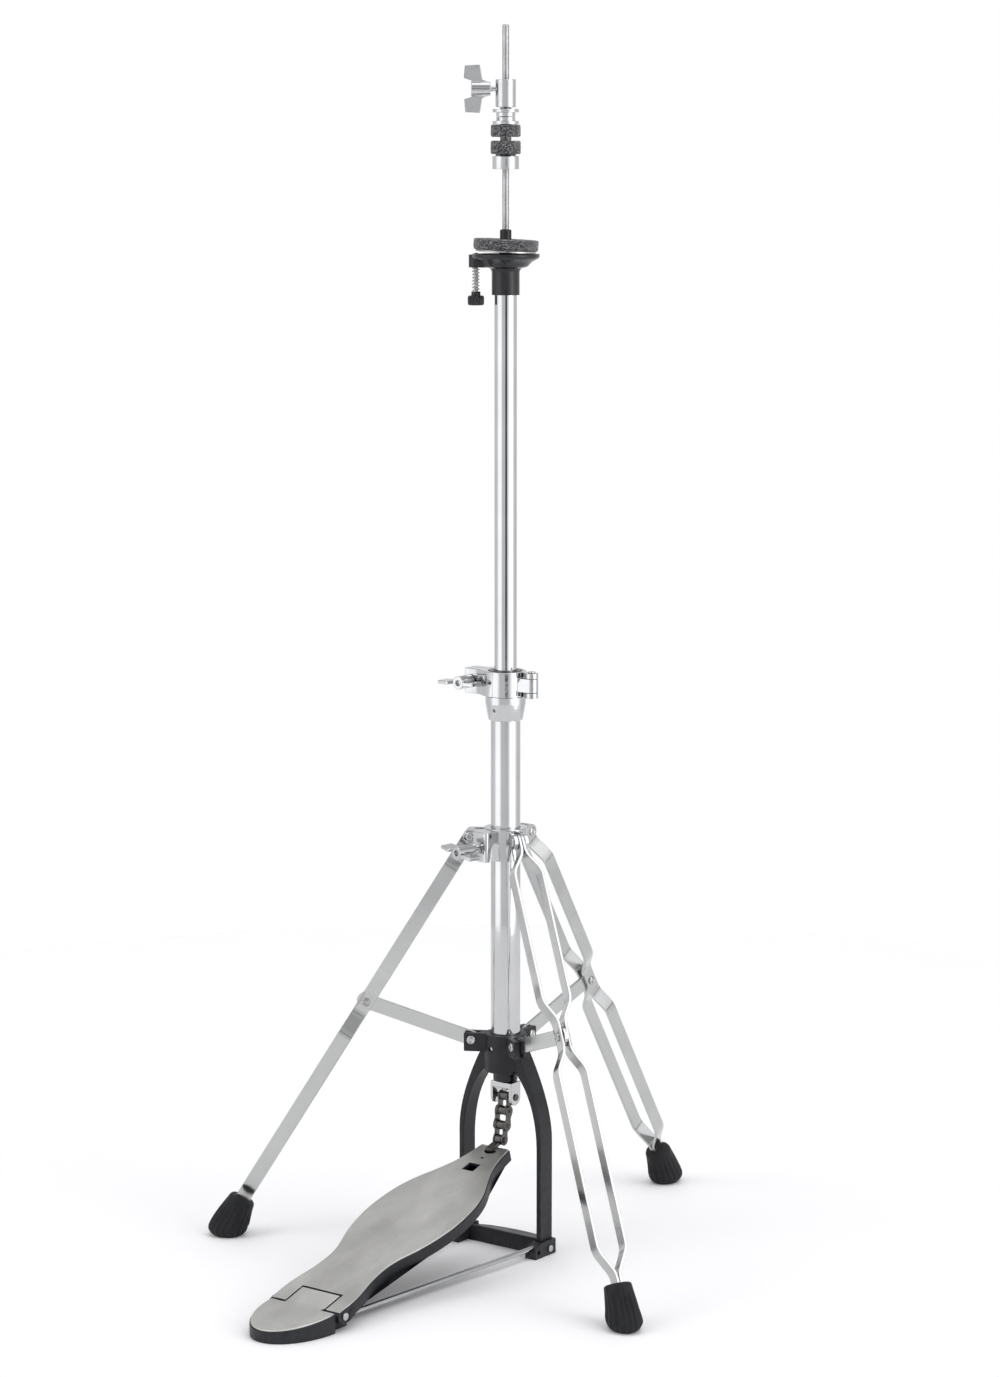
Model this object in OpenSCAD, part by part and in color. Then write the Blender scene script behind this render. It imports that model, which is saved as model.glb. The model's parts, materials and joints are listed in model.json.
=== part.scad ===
// Hi-hat stand: pedal, chain-driven pull rod, telescopic tubes and double-braced tripod.
// +X to the player's right, -Y towards the heel of the pedal, +Z up. The tube axis is X = Y = 0
// and the floor is Z = 0.

/* [Tubes and rod] */
// Outside diameter of the lower tube
lower_tube_d = 25.4; // [24:0.1:26]
// Outside diameter of the upper tube
upper_tube_d = 19.05; // [17.5:0.05:20]
// Wall of both tubes
tube_wall = 1.5; // [1:0.1:1.8]
// Diameter of the pull rod
rod_d = 6; // [5:0.1:6.4]
// Height of the pull rod's top end
rod_top_z = 1040.6; // [1020:1:1080]

/* [Tripod] */
// Distance from the axis to the pivots in the sliding collar
collar_pivot_r = 29.5; // [28.5:0.5:32]
// Height of those pivots
collar_pivot_z = 360.6; // [355:0.1:365]
// Distance from the axis to the rivet where leg and stretcher meet
knee_r = 120.5; // [115:0.5:126]
// Height of that rivet
knee_z = 212.9; // [206:0.1:220]
// Distance from the axis to the stretcher pivots in the hub
hub_pivot_r = 29; // [28:0.5:31]
// Height of the stretcher pivots
hub_pivot_z = 183; // [181:0.5:184]
// Width of the flat straps and stretchers
strap_w = 12.7; // [11:0.1:14]
// Thickness of a leg strap
strap_t = 2.5; // [2:0.1:2.8]
// Half the distance between the two straps of a leg, between their middles
strap_spread = 12.5; // [10:0.5:15]
// Thickness of a stretcher
stretcher_t = 3; // [2.5:0.1:3]
// Distance along a leg from its top pivot to the rubber foot
foot_start = 384; // [375:1:390]

/* [Pedal] */
// Distance behind the axis, towards the heel, of the hinge axle
hinge_back = 263; // [255:1:270]
// Height of the hinge axle
hinge_z = 13; // [12:0.5:14]
// Slope of the footboard at rest, in degrees
board_slope = 16.3; // [15:0.1:17]
// Depth of the footboard's side walls
board_depth = 11; // [9:0.5:12]
// Pitch of the chain
chain_pitch = 12.7; // [12.7:0.1:13]

/* [Cymbal seat and clutch] */
// Diameter of the lower cymbal's felt
seat_felt_d = 54; // [48:1:56]
// Thickness of that felt
seat_felt_h = 9; // [6:0.5:10]
// Tilt of the cymbal seat at rest, in degrees
seat_tilt = 2.5; // [0:0.5:3]
// Diameter of the clutch's threaded tube
clutch_tube_d = 9.7; // [9:0.1:10]

/* [Hidden] */

$fn = 48;
eps = 0.01;
slack = 0.05;             // running clearance of a pin or shaft, on the radius
leg_left_a = -150;        // directions of the three legs, seen from above
leg_right_a = -30;
leg_rear_a = 90;
leg_dirs = [leg_left_a, leg_right_a, leg_rear_a];

lower_bore_r = lower_tube_d / 2 - tube_wall;
upper_bore_r = upper_tube_d / 2 - tube_wall;
rod_r = rod_d / 2;
rod_hole_r = rod_r + 0.08;
tube_foot_z = 158.2;      // lower end of the lower tube, on the hub's floor
clamp_z = 481.6;          // underside of the height clamp
clamp_h = 21.4;
clamp_r = 17.5;
tube_hole_r = lower_tube_d / 2 + slack;

pin_r = 2.5;              // pivot pins and rivets of the tripod
hub_z = 156;
hub_h = 33;
hub_r = 18;
collar_z = 341.5;
collar_h = 27;
collar_r = 18.5;
ear_r = 6.3;
leg_tilt = atan2(knee_r - collar_pivot_r, collar_pivot_z - knee_z);
knee_l = norm([knee_r - collar_pivot_r, collar_pivot_z - knee_z]);
stretcher_rise = atan2(knee_z - hub_pivot_z, knee_r - hub_pivot_r);
stretcher_l = norm([knee_r - hub_pivot_r, knee_z - hub_pivot_z]);
knee_slot_r = 4.5;        // open pivot: room for the fold's small misfit
pinched = 0.15 + strap_t / 2;
knee_pinch = stretcher_t / 2 + 0.3 + strap_t / 2;

// Bent straps

function unit(v) = v / norm(v);
function left_of(v) = [-v[1], v[0]];
function last(p) = len(p) - 1;
function seg(p, i) = unit(p[min(i, last(p) - 1) + 1] - p[min(i, last(p) - 1)]);
function mitre(p, i) =
  let (a = left_of(seg(p, max(i - 1, 0))), b = left_of(seg(p, i)), m = unit(a + b)) m / (m * a);
function side_line(p, w) = [for (i = [0:last(p)]) p[i] + mitre(p, i) * w];
function reversed(p) = [for (i = [last(p):-1:0]) p[i]];
// Outline of a ribbon of thickness t that follows the points p
function ribbon(p, t) = concat(side_line(p, t / 2), reversed(side_line(p, -t / 2)));
function bend(a, b, c, d, n) =
  let (p = b + unit(a - b) * d, q = b + unit(c - b) * d)
  [for (i = [0:n]) let (k = i / n) (1 - k) * (1 - k) * p + 2 * k * (1 - k) * b + k * k * q];
// The points p with each inner corner rounded over a length d either side of it
function rounded(p, d, n = 4) = concat([p[0]],
  [for (i = [1:last(p) - 1]) each bend(p[i - 1], p[i], p[i + 1], d, n)], [p[last(p)]]);

// Curves through a few stations

function catmull(a, b, c, d, k) =
  0.5 * (2 * b + (c - a) * k + (2 * a - 5 * b + 4 * c - d) * k * k + (3 * b - a - 3 * c + d) * k * k * k);
function spline(p, n) = concat(
  [for (i = [0:last(p) - 1], j = [0:n - 1])
    catmull(p[max(i - 1, 0)], p[i], p[i + 1], p[min(i + 2, last(p))], j / n)], [p[last(p)]]);
function bezier(a, b, c, n) =
  [for (i = [0:n]) let (k = i / n) (1 - k) * (1 - k) * a + 2 * k * (1 - k) * b + k * k * c];
function mirrored(p) = concat(p, [for (q = reversed(p)) [-q[0], q[1]]]);

module at_leg(a) {
  rotate([0, 0, a]) children();
}
// Points the local x axis down a leg from its top pivot, with the leg's width along z
module along_leg(a) {
  at_leg(a) translate([collar_pivot_r, 0, collar_pivot_z]) rotate([0, 90 - leg_tilt, 0]) children();
}
module along_y(r, y0, y1) {
  translate([0, y1, 0]) rotate([90, 0, 0]) cylinder(r = r, h = y1 - y0);
}
module along_x(r, x0, x1) {
  translate([x0, 0, 0]) rotate([0, 90, 0]) cylinder(r = r, h = x1 - x0);
}
module tube(ro, ri, z0, z1) {
  translate([0, 0, z0]) difference() {
    cylinder(r = ro, h = z1 - z0);
    translate([0, 0, -1]) cylinder(r = ri, h = z1 - z0 + 2);
  }
}
// A coil spring of round wire, standing on z = 0
module coil(r, wire_r, h, turns) {
  sides = 8;
  steps = 14 * turns;
  rings = [for (i = [0:steps]) let (a = 360 * turns * i / steps) [
    for (j = [0:sides - 1]) let (b = 360 * j / sides, q = r + wire_r * cos(b))
      [q * cos(a), q * sin(a), wire_r + (h - 2 * wire_r) * i / steps + wire_r * sin(b)]]];
  walls = [for (i = [0:steps - 1], j = [0:sides - 1]) let (k = (j + 1) % sides)
    [i * sides + j, i * sides + k, (i + 1) * sides + k, (i + 1) * sides + j]];
  caps = [[for (j = [sides - 1:-1:0]) j], [for (j = [0:sides - 1]) steps * sides + j]];
  polyhedron(points = [for (ring = rings) each ring], faces = concat(walls, caps), convexity = 8);
}
// A wing screw along +x: shank to the left of the origin, neck, hub and two flat wings in the xz plane
module wings(hub_l, span, blade_t) {
  outline = [[1, 0], [1.5, 5.2], [6.5, 7.5], [8.6, span / 2], [21, span / 2 - 0.6], [22, 8.5], [15.5, 6.5],
    [hub_l, 0]];
  for (side = [0, 1]) mirror([0, 0, side]) translate([0, blade_t / 2, 0]) rotate([90, 0, 0])
    linear_extrude(blade_t) polygon(outline);
}
module wing_screw(shank_r, shank_l, neck_r, neck_l, hub_r, hub_l, span) {
  along_x(shank_r, -shank_l, neck_l + 1);
  along_x(neck_r, 0, neck_l + eps);
  translate([neck_l, 0, 0]) {
    difference() {
      union() {
        along_x(hub_r, 0, hub_l);
        wings(hub_l, span, 3);
      }
      translate([hub_l - 3, 0, 0]) rotate([0, 90, 0]) cylinder(r = 2.6, h = 5, $fn = 6);
    }
  }
}

// Hub casting and pedal frame

arch_depth = 17;
arch_outer = bezier([44, 100], [44, 130], [20, 174], 14);
arch_inner = bezier([39.2, 90], [39.2, 134], [16, 157.9], 14);
bolt_y = 0.4;
bolt_z = 6;
bolt_r = 2;
module arch_side() {
  polygon(concat([[39.2, 1]], [[44, 1]], arch_outer, [[0, 174]], [[0, 157.9]], reversed(arch_inner)));
}
module hub_ears() {
  for (a = leg_dirs) at_leg(a) translate([0, 0, 173]) difference() {
    translate([10, -7, 0]) cube([hub_pivot_r + ear_r - 10, 14, 16]);
    translate([22, -stretcher_t / 2 - 0.2, -1]) cube([20, stretcher_t + 0.4, 18]);
  }
}
module arch_frame() color([0.09, 0.09, 0.1]) difference() {
  union() {
    translate([0, arch_depth / 2, 0]) rotate([90, 0, 0]) linear_extrude(arch_depth) {
      arch_side();
      mirror([1, 0]) arch_side();
    }
    translate([0, 0, hub_z]) cylinder(r = hub_r, h = hub_h);
    hub_ears();
  }
  translate([0, 0, tube_foot_z - slack]) cylinder(r = tube_hole_r, h = 60);
  translate([0, 0, hub_z - 1]) cylinder(r = 10.55, h = 5);
  for (a = leg_dirs) at_leg(a) translate([hub_pivot_r, 0, hub_pivot_z]) along_y(pin_r, -20, 20);
  for (s = [-1, 1]) translate([0, bolt_y, bolt_z]) along_x(bolt_r, s > 0 ? 38 : -46, s > 0 ? 46 : -38);
  translate([-3, 0, 177]) along_y(2, -20, -12);
}
base_front_y = -6;
base_back_y = 27;
function d_edge() = [for (a = [0:12:180]) [38 * cos(a), 7 + (base_back_y - 7) * sin(a)]];
module base_plate() color([0.08, 0.08, 0.09]) difference() {
  union() {
    difference() {
      linear_extrude(14) polygon(concat([[-38, base_front_y], [38, base_front_y]], d_edge()));
      translate([0, base_front_y + 3, 12.5]) rotate([-12, 0, 0]) translate([-60, 0, 0]) cube([120, 60, 20]);
    }
    for (s = [0, 1]) mirror([s, 0, 0]) translate([36, 0, 0]) rotate([90, 0, 90]) linear_extrude(11.4)
      polygon([[-20, 0], [9.5, 0], [9.5, 13], [-9, 13], [-20, 9.5]]);
  }
  for (s = [0, 1]) mirror([s, 0, 0]) {
    translate([39.15, -arch_depth / 2 - slack, 0.95]) cube([4.9, arch_depth + 2 * slack, 20]);
    translate([0, bolt_y, bolt_z]) along_x(bolt_r, 38, 50);
    translate([0, -15, 5.5]) along_x(1.9, 44, 50);
    base_rod(2.3);
  }
}
rod_front = [41.6, -12, 8.6];
rod_back = [24.3, -258, 7.9];
module base_rod(r) {
  run = rod_back - rod_front;
  l = norm(run);
  translate(rod_front) rotate([0, acos(run[2] / l), atan2(run[1], run[0])]) cylinder(r = r, h = l);
}
module base_rods() color([0.85, 0.85, 0.87]) {
  base_rod(2.25);
  mirror([1, 0, 0]) base_rod(2.25);
}
module bracket_bolts() color([0.85, 0.85, 0.87]) {
  for (s = [0, 1]) mirror([s, 0, 0]) translate([0, bolt_y, bolt_z]) {
    along_x(bolt_r, 39.4, 47.6);
    along_x(2.9, 47.4, 48.9);
  }
}
module hub_pins() color([0.8, 0.8, 0.82]) {
  for (a = leg_dirs) at_leg(a) translate([hub_pivot_r, 0, hub_pivot_z]) {
    along_y(pin_r, -7.2, 7.2);
    along_y(3.8, 7, 8.4);
    along_y(3.8, -8.4, -7);
  }
}
module small_screws() color([0.8, 0.8, 0.82]) {
  translate([-3, 0, 177]) along_y(2, -15.6, -12.6);
  translate([0, 0, 470]) along_y(1.3, -14.3, -12.8);
}

// Tubes, height clamp and bushes

module lower_tube() color([0.85, 0.86, 0.88]) {
  tube(lower_tube_d / 2, lower_bore_r, tube_foot_z, 499);
}
module tube_collar() color([0.85, 0.86, 0.88]) difference() {
  rotate_extrude($fn = 64) polygon([[tube_hole_r - slack, 461], [14.5, 461], [14.9, 462.5], [17.3, 476],
    [17.3, clamp_z - 0.05], [tube_hole_r - slack, clamp_z - 0.05]]);
  translate([0, 0, 470]) along_y(1.3, -20, -10);
}
module tube_bushing() color([0.1, 0.1, 0.1]) {
  tube(lower_bore_r, upper_tube_d / 2 + slack, 460, 499);
  tube(14.6, upper_tube_d / 2 + slack, 499.02, 503.4);
}
module rod_bush() color([0.05, 0.05, 0.06]) {
  tube(10.5, rod_hole_r, 147, 164);
}
clamp_lug_x = -31;        // the clamp's bolt
clamp_mid_z = clamp_z + clamp_h / 2;
knuckle_x = 27.5;
knuckle_r = 5.6;
leaf_h = 4.6;
module clamp_half() {
  intersection() {
    union() {
      cylinder(r = clamp_r, h = clamp_h, $fn = 64);
      linear_extrude(clamp_h) polygon([[-38, 0], [-38, 7], [-37.2, 8], [-36.4, 8.4], [-25, 8.4], [-22.4, 8.9],
        [-19.6, 10.2], [-16.6, 12.2], [-13.4, 14.3], [-10, 15.9], [-6, 17], [-1, clamp_r], [0, 0]]);
    }
    translate([-50, 0.6, -1]) cube([100, 60, clamp_h + 2]);
  }
}
module clamp_bore() {
  translate([0, 0, -1]) cylinder(r = tube_hole_r, h = 18.45, $fn = 64);
  translate([0, 0, 17.4]) cylinder(r = 14.65, h = 10, $fn = 64);
}
module knuckle_leaf(z0, z1, side) {
  translate([0, 0, z0]) {
    translate([knuckle_x, 0, 0]) cylinder(r = knuckle_r, h = z1 - z0);
    translate([14, side > 0 ? 0.6 : -knuckle_r, 0]) cube([knuckle_x - 14, knuckle_r - 0.6, z1 - z0]);
  }
}
module clamp_body() color([0.85, 0.86, 0.88]) translate([0, 0, clamp_z]) difference() {
  union() {
    clamp_half();
    knuckle_leaf(0, leaf_h, 1);
    knuckle_leaf(clamp_h - leaf_h, clamp_h, 1);
  }
  clamp_bore();
  translate([knuckle_x, 0, -1]) cylinder(r = 2, h = 40);
  translate([clamp_lug_x, 0, clamp_h / 2]) along_y(3, -2, 20);
}
module clamp_jaw() color([0.85, 0.86, 0.88]) translate([0, 0, clamp_z]) difference() {
  union() {
    mirror([0, 1, 0]) clamp_half();
    knuckle_leaf(leaf_h + 0.3, clamp_h - leaf_h - 0.3, -1);
  }
  translate([0, 0, -1]) cylinder(r = tube_hole_r + 0.25, h = 18.45, $fn = 64);
  translate([0, 0, 17.1]) cylinder(r = 14.9, h = 10, $fn = 64);
  translate([knuckle_x, 0, -1]) cylinder(r = 2 + slack, h = 40);
  translate([clamp_lug_x, 0, clamp_h / 2]) along_y(3.8, -20, 2);
  difference() {
    translate([clamp_r + 0.6, -10, -1]) cube([20, 20, clamp_h + 2]);
    translate([clamp_r, -20, leaf_h + 0.3]) cube([30, 40, clamp_h - 2 * leaf_h - 0.6]);
  }
}
module clamp_bolt() color([0.8, 0.8, 0.82]) translate([clamp_lug_x, 0, clamp_mid_z]) {
  along_y(3, -22, 9);
  translate([0, 8.45, 0]) rotate([-90, 0, 0]) cylinder(r = 5.2, h = 3.6, $fn = 6);
}
module clamp_hinge_pin() color([0.8, 0.8, 0.82]) translate([knuckle_x, 0, clamp_z]) {
  translate([0, 0, -0.2]) cylinder(r = 2, h = clamp_h + 0.4);
  translate([0, 0, clamp_h + 0.05]) cylinder(r = 3.1, h = 1.1);
}
module clamp_wing_nut() color([0.85, 0.86, 0.88]) translate([clamp_lug_x, -9.2, clamp_mid_z])
  rotate([0, 0, -90]) rotate([90, 0, 0]) difference() {
    union() {
      along_x(5.6, 0, 17);
      wings(17, 38, 3);
    }
    along_x(3.8, -1, 14);
    translate([14.5, 0, 0]) rotate([0, 90, 0]) cylinder(r = 2.6, h = 5, $fn = 6);
  }

// Heel plate and footboard

heel_front_y = -hinge_back - 7.6;
heel_w = 34;
heel_tip = 53.4;
heel_slope = 6.4;
tongue_w = 20.1;
tongue_l = 17.7;
tongue_front_y = -246.4;
axle_r = 2.5;
function heel_outline(inset) = [for (a = [180:7.5:360])
  [(heel_w - inset) * cos(a), heel_front_y + (heel_tip - inset) * sin(a) - (sin(a) < -eps ? 0 : inset)]];
// Everything above the heel's sloping top, lowered by drop
module above_heel(drop) {
  translate([-60, heel_front_y + 2, 17.1 - drop]) rotate([heel_slope, 0, 0])
    translate([0, -80, 0]) cube([120, 84, 30]);
}
module heel_plate() color([0.08, 0.08, 0.09]) difference() {
  union() {
    difference() {
      linear_extrude(20) polygon(heel_outline(0));
      above_heel(1.25);
    }
    translate([-28.4, heel_front_y - 1, 0]) cube([56.8, 21.6, 11.6]);
    translate([-tongue_w + 0.5, heel_front_y - 2, 0]) cube([2 * tongue_w - 1, 23, 14.8]);
    in_board() translate([-tongue_w, -4, -8]) cube([2 * tongue_w, tongue_l + 4, 6.7 + board_top]);
    translate([-tongue_w + 1, -252, 0]) cube([2 * tongue_w - 2, 5.4, 11]);
  }
  translate([0, -hinge_back, hinge_z]) along_x(axle_r, -30, 30);
  base_rod(2.3);
  mirror([1, 0, 0]) base_rod(2.3);
}
module heel_top() color([0.6, 0.6, 0.6]) {
  intersection() {
    union() {
      linear_extrude(25) polygon(heel_outline(0.9));
      translate([-tongue_w + 1, heel_front_y - 3, 0]) cube([2 * tongue_w - 2, 7.2, 25]);
    }
    difference() {
      above_heel(1.2);
      above_heel(0);
    }
  }
  in_board() translate([-tongue_w + 0.6, -3.6, board_top - 1.2]) cube([2 * tongue_w - 1.2, tongue_l + 3, 1.2]);
}
module hinge_axle() color([0.85, 0.85, 0.87]) translate([0, -hinge_back, hinge_z]) {
  along_x(axle_r, -38.2, 38.2);
  along_x(3.2, 37.4, 38.6);
  along_x(3.2, -38.6, -37.4);
}

board_top = 5.24;         // the board's top above the hinge axle, measured square to the board
plate_t = 1.3;
board_l = 261;
board_wall = 3;
board_stations = [[36, -3.7], [35.8, 20], [30.8, 50], [31.5, 75], [41, 104], [46.3, 135], [45.2, 165], [39, 190],
  [24.5, 220], [18, 240], [15, board_l]];
function board_outline(inset) = mirrored(
  [for (q = spline(board_stations, 5)) [q[0] - inset, min(q[1], board_l - inset)]]);
lug_r = 6.9;
module in_board() {
  translate([0, -hinge_back, hinge_z]) rotate([board_slope, 0, 0]) children();
}
module board_cuts() {
  translate([-21.4, -20, -20]) cube([42.8, 39.5, 40]);
  translate([0, 254.6, -20]) intersection() {
    cylinder(r = 6.2, h = 40);
    translate([-10, -12, 0]) cube([20, 12, 40]);
  }
  translate([-1.6, 239.6, -20]) cube([3.2, 2.6, 40]);
  translate([-6, 219, -20]) cube([12, 12, 40]);
}
module footboard() color([0.08, 0.08, 0.09]) in_board() difference() {
  union() {
    difference() {
      translate([0, 0, board_top - board_depth]) linear_extrude(board_depth - plate_t - 0.02)
        polygon(board_outline(0));
      translate([0, 0, board_top - board_depth - 2]) linear_extrude(board_depth - plate_t - 0.5)
        polygon([for (q = board_outline(board_wall)) if (q[1] > 22) q]);
    }
    intersection() {
      for (s = [0, 1]) mirror([s, 0, 0]) {
        along_x(lug_r, 29, 37);
        translate([29.1, 0.2, 0.4 - lug_r]) cube([7.8, 12, lug_r]);
      }
      translate([-50, -20, -20]) cube([100, 60, 20 + board_top - plate_t - 0.02]);
    }
  }
  board_cuts();
  translate([-28.7, -20, -20]) cube([57.4, 39.3, 21.9]);
  translate([-28.7, -20, -20]) cube([57.4, 48, 16.6]);
  along_x(axle_r + slack, -40, 40);
}
module footboard_plate() color([0.62, 0.62, 0.62]) in_board() difference() {
  translate([0, 0, board_top - plate_t]) linear_extrude(plate_t) polygon(board_outline(0.7));
  board_cuts();
}
toe_pin = [268.5, 7.8];   // the chain's last pin, along and above the board
hook_w = 3.1;
hook_y = 250.9;
module toe_hook() color([0.8, 0.8, 0.82]) in_board() difference() {
  translate([-hook_w, 0, 0]) rotate([90, 0, 90]) linear_extrude(2 * hook_w) {
    translate(toe_pin) circle(r = 4.4);
    translate([hook_y, board_top + 0.05]) square([toe_pin[0] - hook_y, 3.6]);
    translate([hook_y, 0]) square([3.4, board_top + 1]);
  }
  translate([0, toe_pin[0], toe_pin[1]]) along_x(2.9, -10, 10);
}

// Pull rod, clevis, chain and return spring

chain_top_z = 133.15;
chain_lean = 11.35;
cheek_x = 8.5;
link_pin_r = 1.9;
coupler_z = 330;
spring_z = 164.2;
spring_h = 86;
module lower_rod() color([0.75, 0.75, 0.77]) translate([0, 0, 138]) cylinder(r = rod_r, h = 202 - slack);
groove_z = 996.2;         // shallow ring groove that marks the rod's free end, above the clutch
module upper_rod() color([0.82, 0.82, 0.84]) rotate_extrude($fn = 64)
  polygon([[0, 340], [rod_r, 340], [rod_r, groove_z], [rod_r - 0.25, groove_z], [rod_r - 0.25, groove_z + 0.6],
    [rod_r, groove_z + 0.6], [rod_r, rod_top_z - 1], [rod_r - 0.8, rod_top_z], [0, rod_top_z]]);
module rod_coupler() color([0.7, 0.65, 0.4]) translate([0, 0, coupler_z]) difference() {
  cylinder(r = 5.4, h = 22, $fn = 6);
  translate([0, 0, -1]) cylinder(r = rod_r, h = 30);
}
module rod_clevis() color([0.85, 0.86, 0.88]) difference() {
  intersection() {
    translate([-11, -7.2, 120]) cube([22, 14.4, 26.6]);
    union() {
      translate([0, 0, chain_top_z]) along_x(7.2, -12, 12);
      translate([-12, -8, chain_top_z]) cube([24, 16, 20]);
    }
  }
  translate([-cheek_x, -10, 110]) cube([2 * cheek_x, 20, 31.5]);
  translate([0, 0, 130]) cylinder(r = rod_r, h = 20);
  translate([0, 0, chain_top_z]) along_x(link_pin_r, -20, 20);
}
module clevis_pin() color([0.3, 0.3, 0.32]) translate([0, 0, chain_top_z]) {
  along_x(link_pin_r, -11.4, 11.4);
  along_x(3, 11.05, 12);
}
module spring_collar() color([0.3, 0.3, 0.32]) tube(9.5, rod_r, spring_z + spring_h + 0.1, spring_z + spring_h + 7);
module return_spring() color([0.6, 0.6, 0.62]) translate([0, 0, spring_z]) coil(7.6, 0.9, spring_h, 9);

module in_chain() {
  translate([0, 0, chain_top_z]) rotate([-chain_lean, 0, 0]) children();
}
module link(x, t) {
  translate([x, 0, 0]) rotate([0, 90, 0]) linear_extrude(t) difference() {
    union() {
      circle(r = 4.6);
      translate([chain_pitch, 0]) circle(r = 4.6);
      translate([0, -3.3]) square([chain_pitch, 6.6]);
    }
    circle(r = link_pin_r + slack);
    translate([chain_pitch, 0]) circle(r = link_pin_r);
  }
}
module chain_inner_plates() color([0.2, 0.2, 0.21]) in_chain() {
  for (n = [0, 2], x = [3.6, -5]) translate([0, 0, -n * chain_pitch]) link(x, 1.4);
}
module chain_outer_plates() color([0.2, 0.2, 0.21]) in_chain() {
  for (x = [5.1, -6.5]) translate([0, 0, -chain_pitch]) link(x, 1.4);
}
module chain_pins() color([0.3, 0.3, 0.31]) in_chain() {
  for (n = [1, 2]) translate([0, 0, -n * chain_pitch]) along_x(link_pin_r, -7.3, 7.3);
  translate([0, 0, -3 * chain_pitch]) {
    along_x(link_pin_r, -6, 6);
    along_x(2.8, 5.05, 6.3);
    along_x(2.8, -6.3, -5.05);
  }
}
module chain_rollers() color([0.25, 0.25, 0.26]) in_chain() {
  for (n = [0:2]) translate([0, 0, -n * chain_pitch]) difference() {
    along_x(3.9, -3.5, 3.5);
    along_x(link_pin_r + slack, -5, 5);
  }
}

// Upper tube and cymbal seat

cup_z = 818.7;
tilt_a = -150;            // direction of the tilt screw, seen from above
tilt_r = 25;
module upper_tube() color([0.86, 0.87, 0.89]) tube(upper_tube_d / 2, upper_bore_r, 425, 838);
module seat_cup() color([0.06, 0.06, 0.065]) difference() {
  union() {
    rotate_extrude($fn = 72) polygon([[0, cup_z], [11.7, cup_z], [11.7, 838], [13, 840.5], [18.6, 842.2],
      [22, 846], [27.6, 849], [28.4, 850.5], [28.4, 852.2], [27.6, 852.7], [26.4, 852.5], [24, 850], [9, 848.5],
      [6.5, 850], [4.85, 856], [4.85, 872], [4.3, 872.8], [0, 872.8]]);
    rotate([0, 0, tilt_a]) translate([0, 0, 841.4]) {
      translate([tilt_r, 0, 0]) cylinder(r = 6, h = 10.6);
      translate([20, -6, 0]) cube([tilt_r - 20, 12, 10.6]);
      translate([10, -6, 0]) cube([tilt_r - 10, 12, 7]);
    }
  }
  translate([0, 0, cup_z - 1]) cylinder(r = upper_tube_d / 2 + 0.01, h = 20.4);
  translate([0, 0, cup_z - 1]) cylinder(r = rod_hole_r, h = 80);
  rotate([0, 0, tilt_a]) translate([tilt_r, 0, 830]) cylinder(r = 2.05, h = 40);
}
// The seat leans about the cup's rim on the side away from the tilt screw
seat_pivot_r = 25;
seat_z = 853;
module on_seat() {
  rotate([0, 0, tilt_a]) translate([-seat_pivot_r, 0, seat_z]) rotate([0, -seat_tilt, 0])
    translate([seat_pivot_r, 0, 0]) children();
}
module seat_washer() color([0.85, 0.86, 0.88]) on_seat() tube(25.3, 7, 0, 1.5);
module seat_felt() color([0.12, 0.12, 0.13]) on_seat() tube(seat_felt_d / 2, 7.2, 1.55, 1.55 + seat_felt_h);
module tilt_screw() color([0.8, 0.8, 0.82]) rotate([0, 0, tilt_a]) translate([tilt_r, 0, 816])
  cylinder(r = 2, h = 853.6 - 816);
module tilt_knob() color([0.07, 0.07, 0.075]) rotate([0, 0, tilt_a]) translate([tilt_r, 0, 0]) difference() {
  rotate_extrude() polygon([[0, 810], [6.1, 810], [6.9, 811], [6.9, 817.2], [6, 818.1], [3.8, 818.1], [3.8, 821.4],
    [0, 821.4]]);
  translate([0, 0, 815.98]) cylinder(r = 2, h = 20);
}
module tilt_spring() color([0.8, 0.8, 0.82]) rotate([0, 0, tilt_a]) translate([tilt_r, 0, 821.7])
  coil(2.85, 0.45, 841.3 - 821.7, 7);

// Clutch

clutch_z = 973;
clutch_top_z = 995.6;
clutch_screw_z = 988;
clutch_screw_a = -142.9;  // direction in which the clutch's wing screw points
module clutch_body() color([0.87, 0.87, 0.89]) difference() {
  translate([0, 0, clutch_z]) cylinder(r = 8.5, h = clutch_top_z - clutch_z);
  translate([0, 0, clutch_z - 1]) cylinder(r = rod_hole_r, h = 40);
  rotate([0, 0, clutch_screw_a]) translate([0, 0, clutch_screw_z]) along_x(2.3, 2, 20);
}
module clutch_tube() color([0.8, 0.8, 0.82]) tube(clutch_tube_d / 2, rod_hole_r, 922.8, clutch_z - 0.02);
module clutch_felt_upper() color([0.12, 0.12, 0.13]) tube(12.3, 5.05, 948.7, 958.7);
module clutch_felt_lower() color([0.12, 0.12, 0.13]) tube(12.4, 5.05, 934.6, 945.6);
module clutch_washer() color([0.2, 0.2, 0.2]) tube(8.5, 5.05, 933.2, 934.5);
module clutch_wing_screw() color([0.87, 0.87, 0.89]) rotate([0, 0, clutch_screw_a])
  translate([8.6, 0, clutch_screw_z]) wing_screw(2.25, 5.2, 2.25, 4, 5.8, 16, 39.6);
module flanged_nut(flange_z, body_z) {
  difference() {
    union() {
      translate([0, 0, flange_z]) cylinder(r = 11, h = 2.7);
      translate([0, 0, body_z]) cylinder(r = 8, h = 3.4);
    }
    translate([0, 0, 950]) cylinder(r = clutch_tube_d / 2 + 0.1, h = 30);
  }
}
module jam_nut_upper() color([0.87, 0.87, 0.89]) flanged_nut(968.7, 965.35);
module jam_nut_lower() color([0.87, 0.87, 0.89]) flanged_nut(959, 961.65);
module clutch_nut() color([0.87, 0.87, 0.89]) tube(11.15, clutch_tube_d / 2 + 0.1, 922.3, 932.9);

// Leg collar, legs, stretchers and feet

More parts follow.
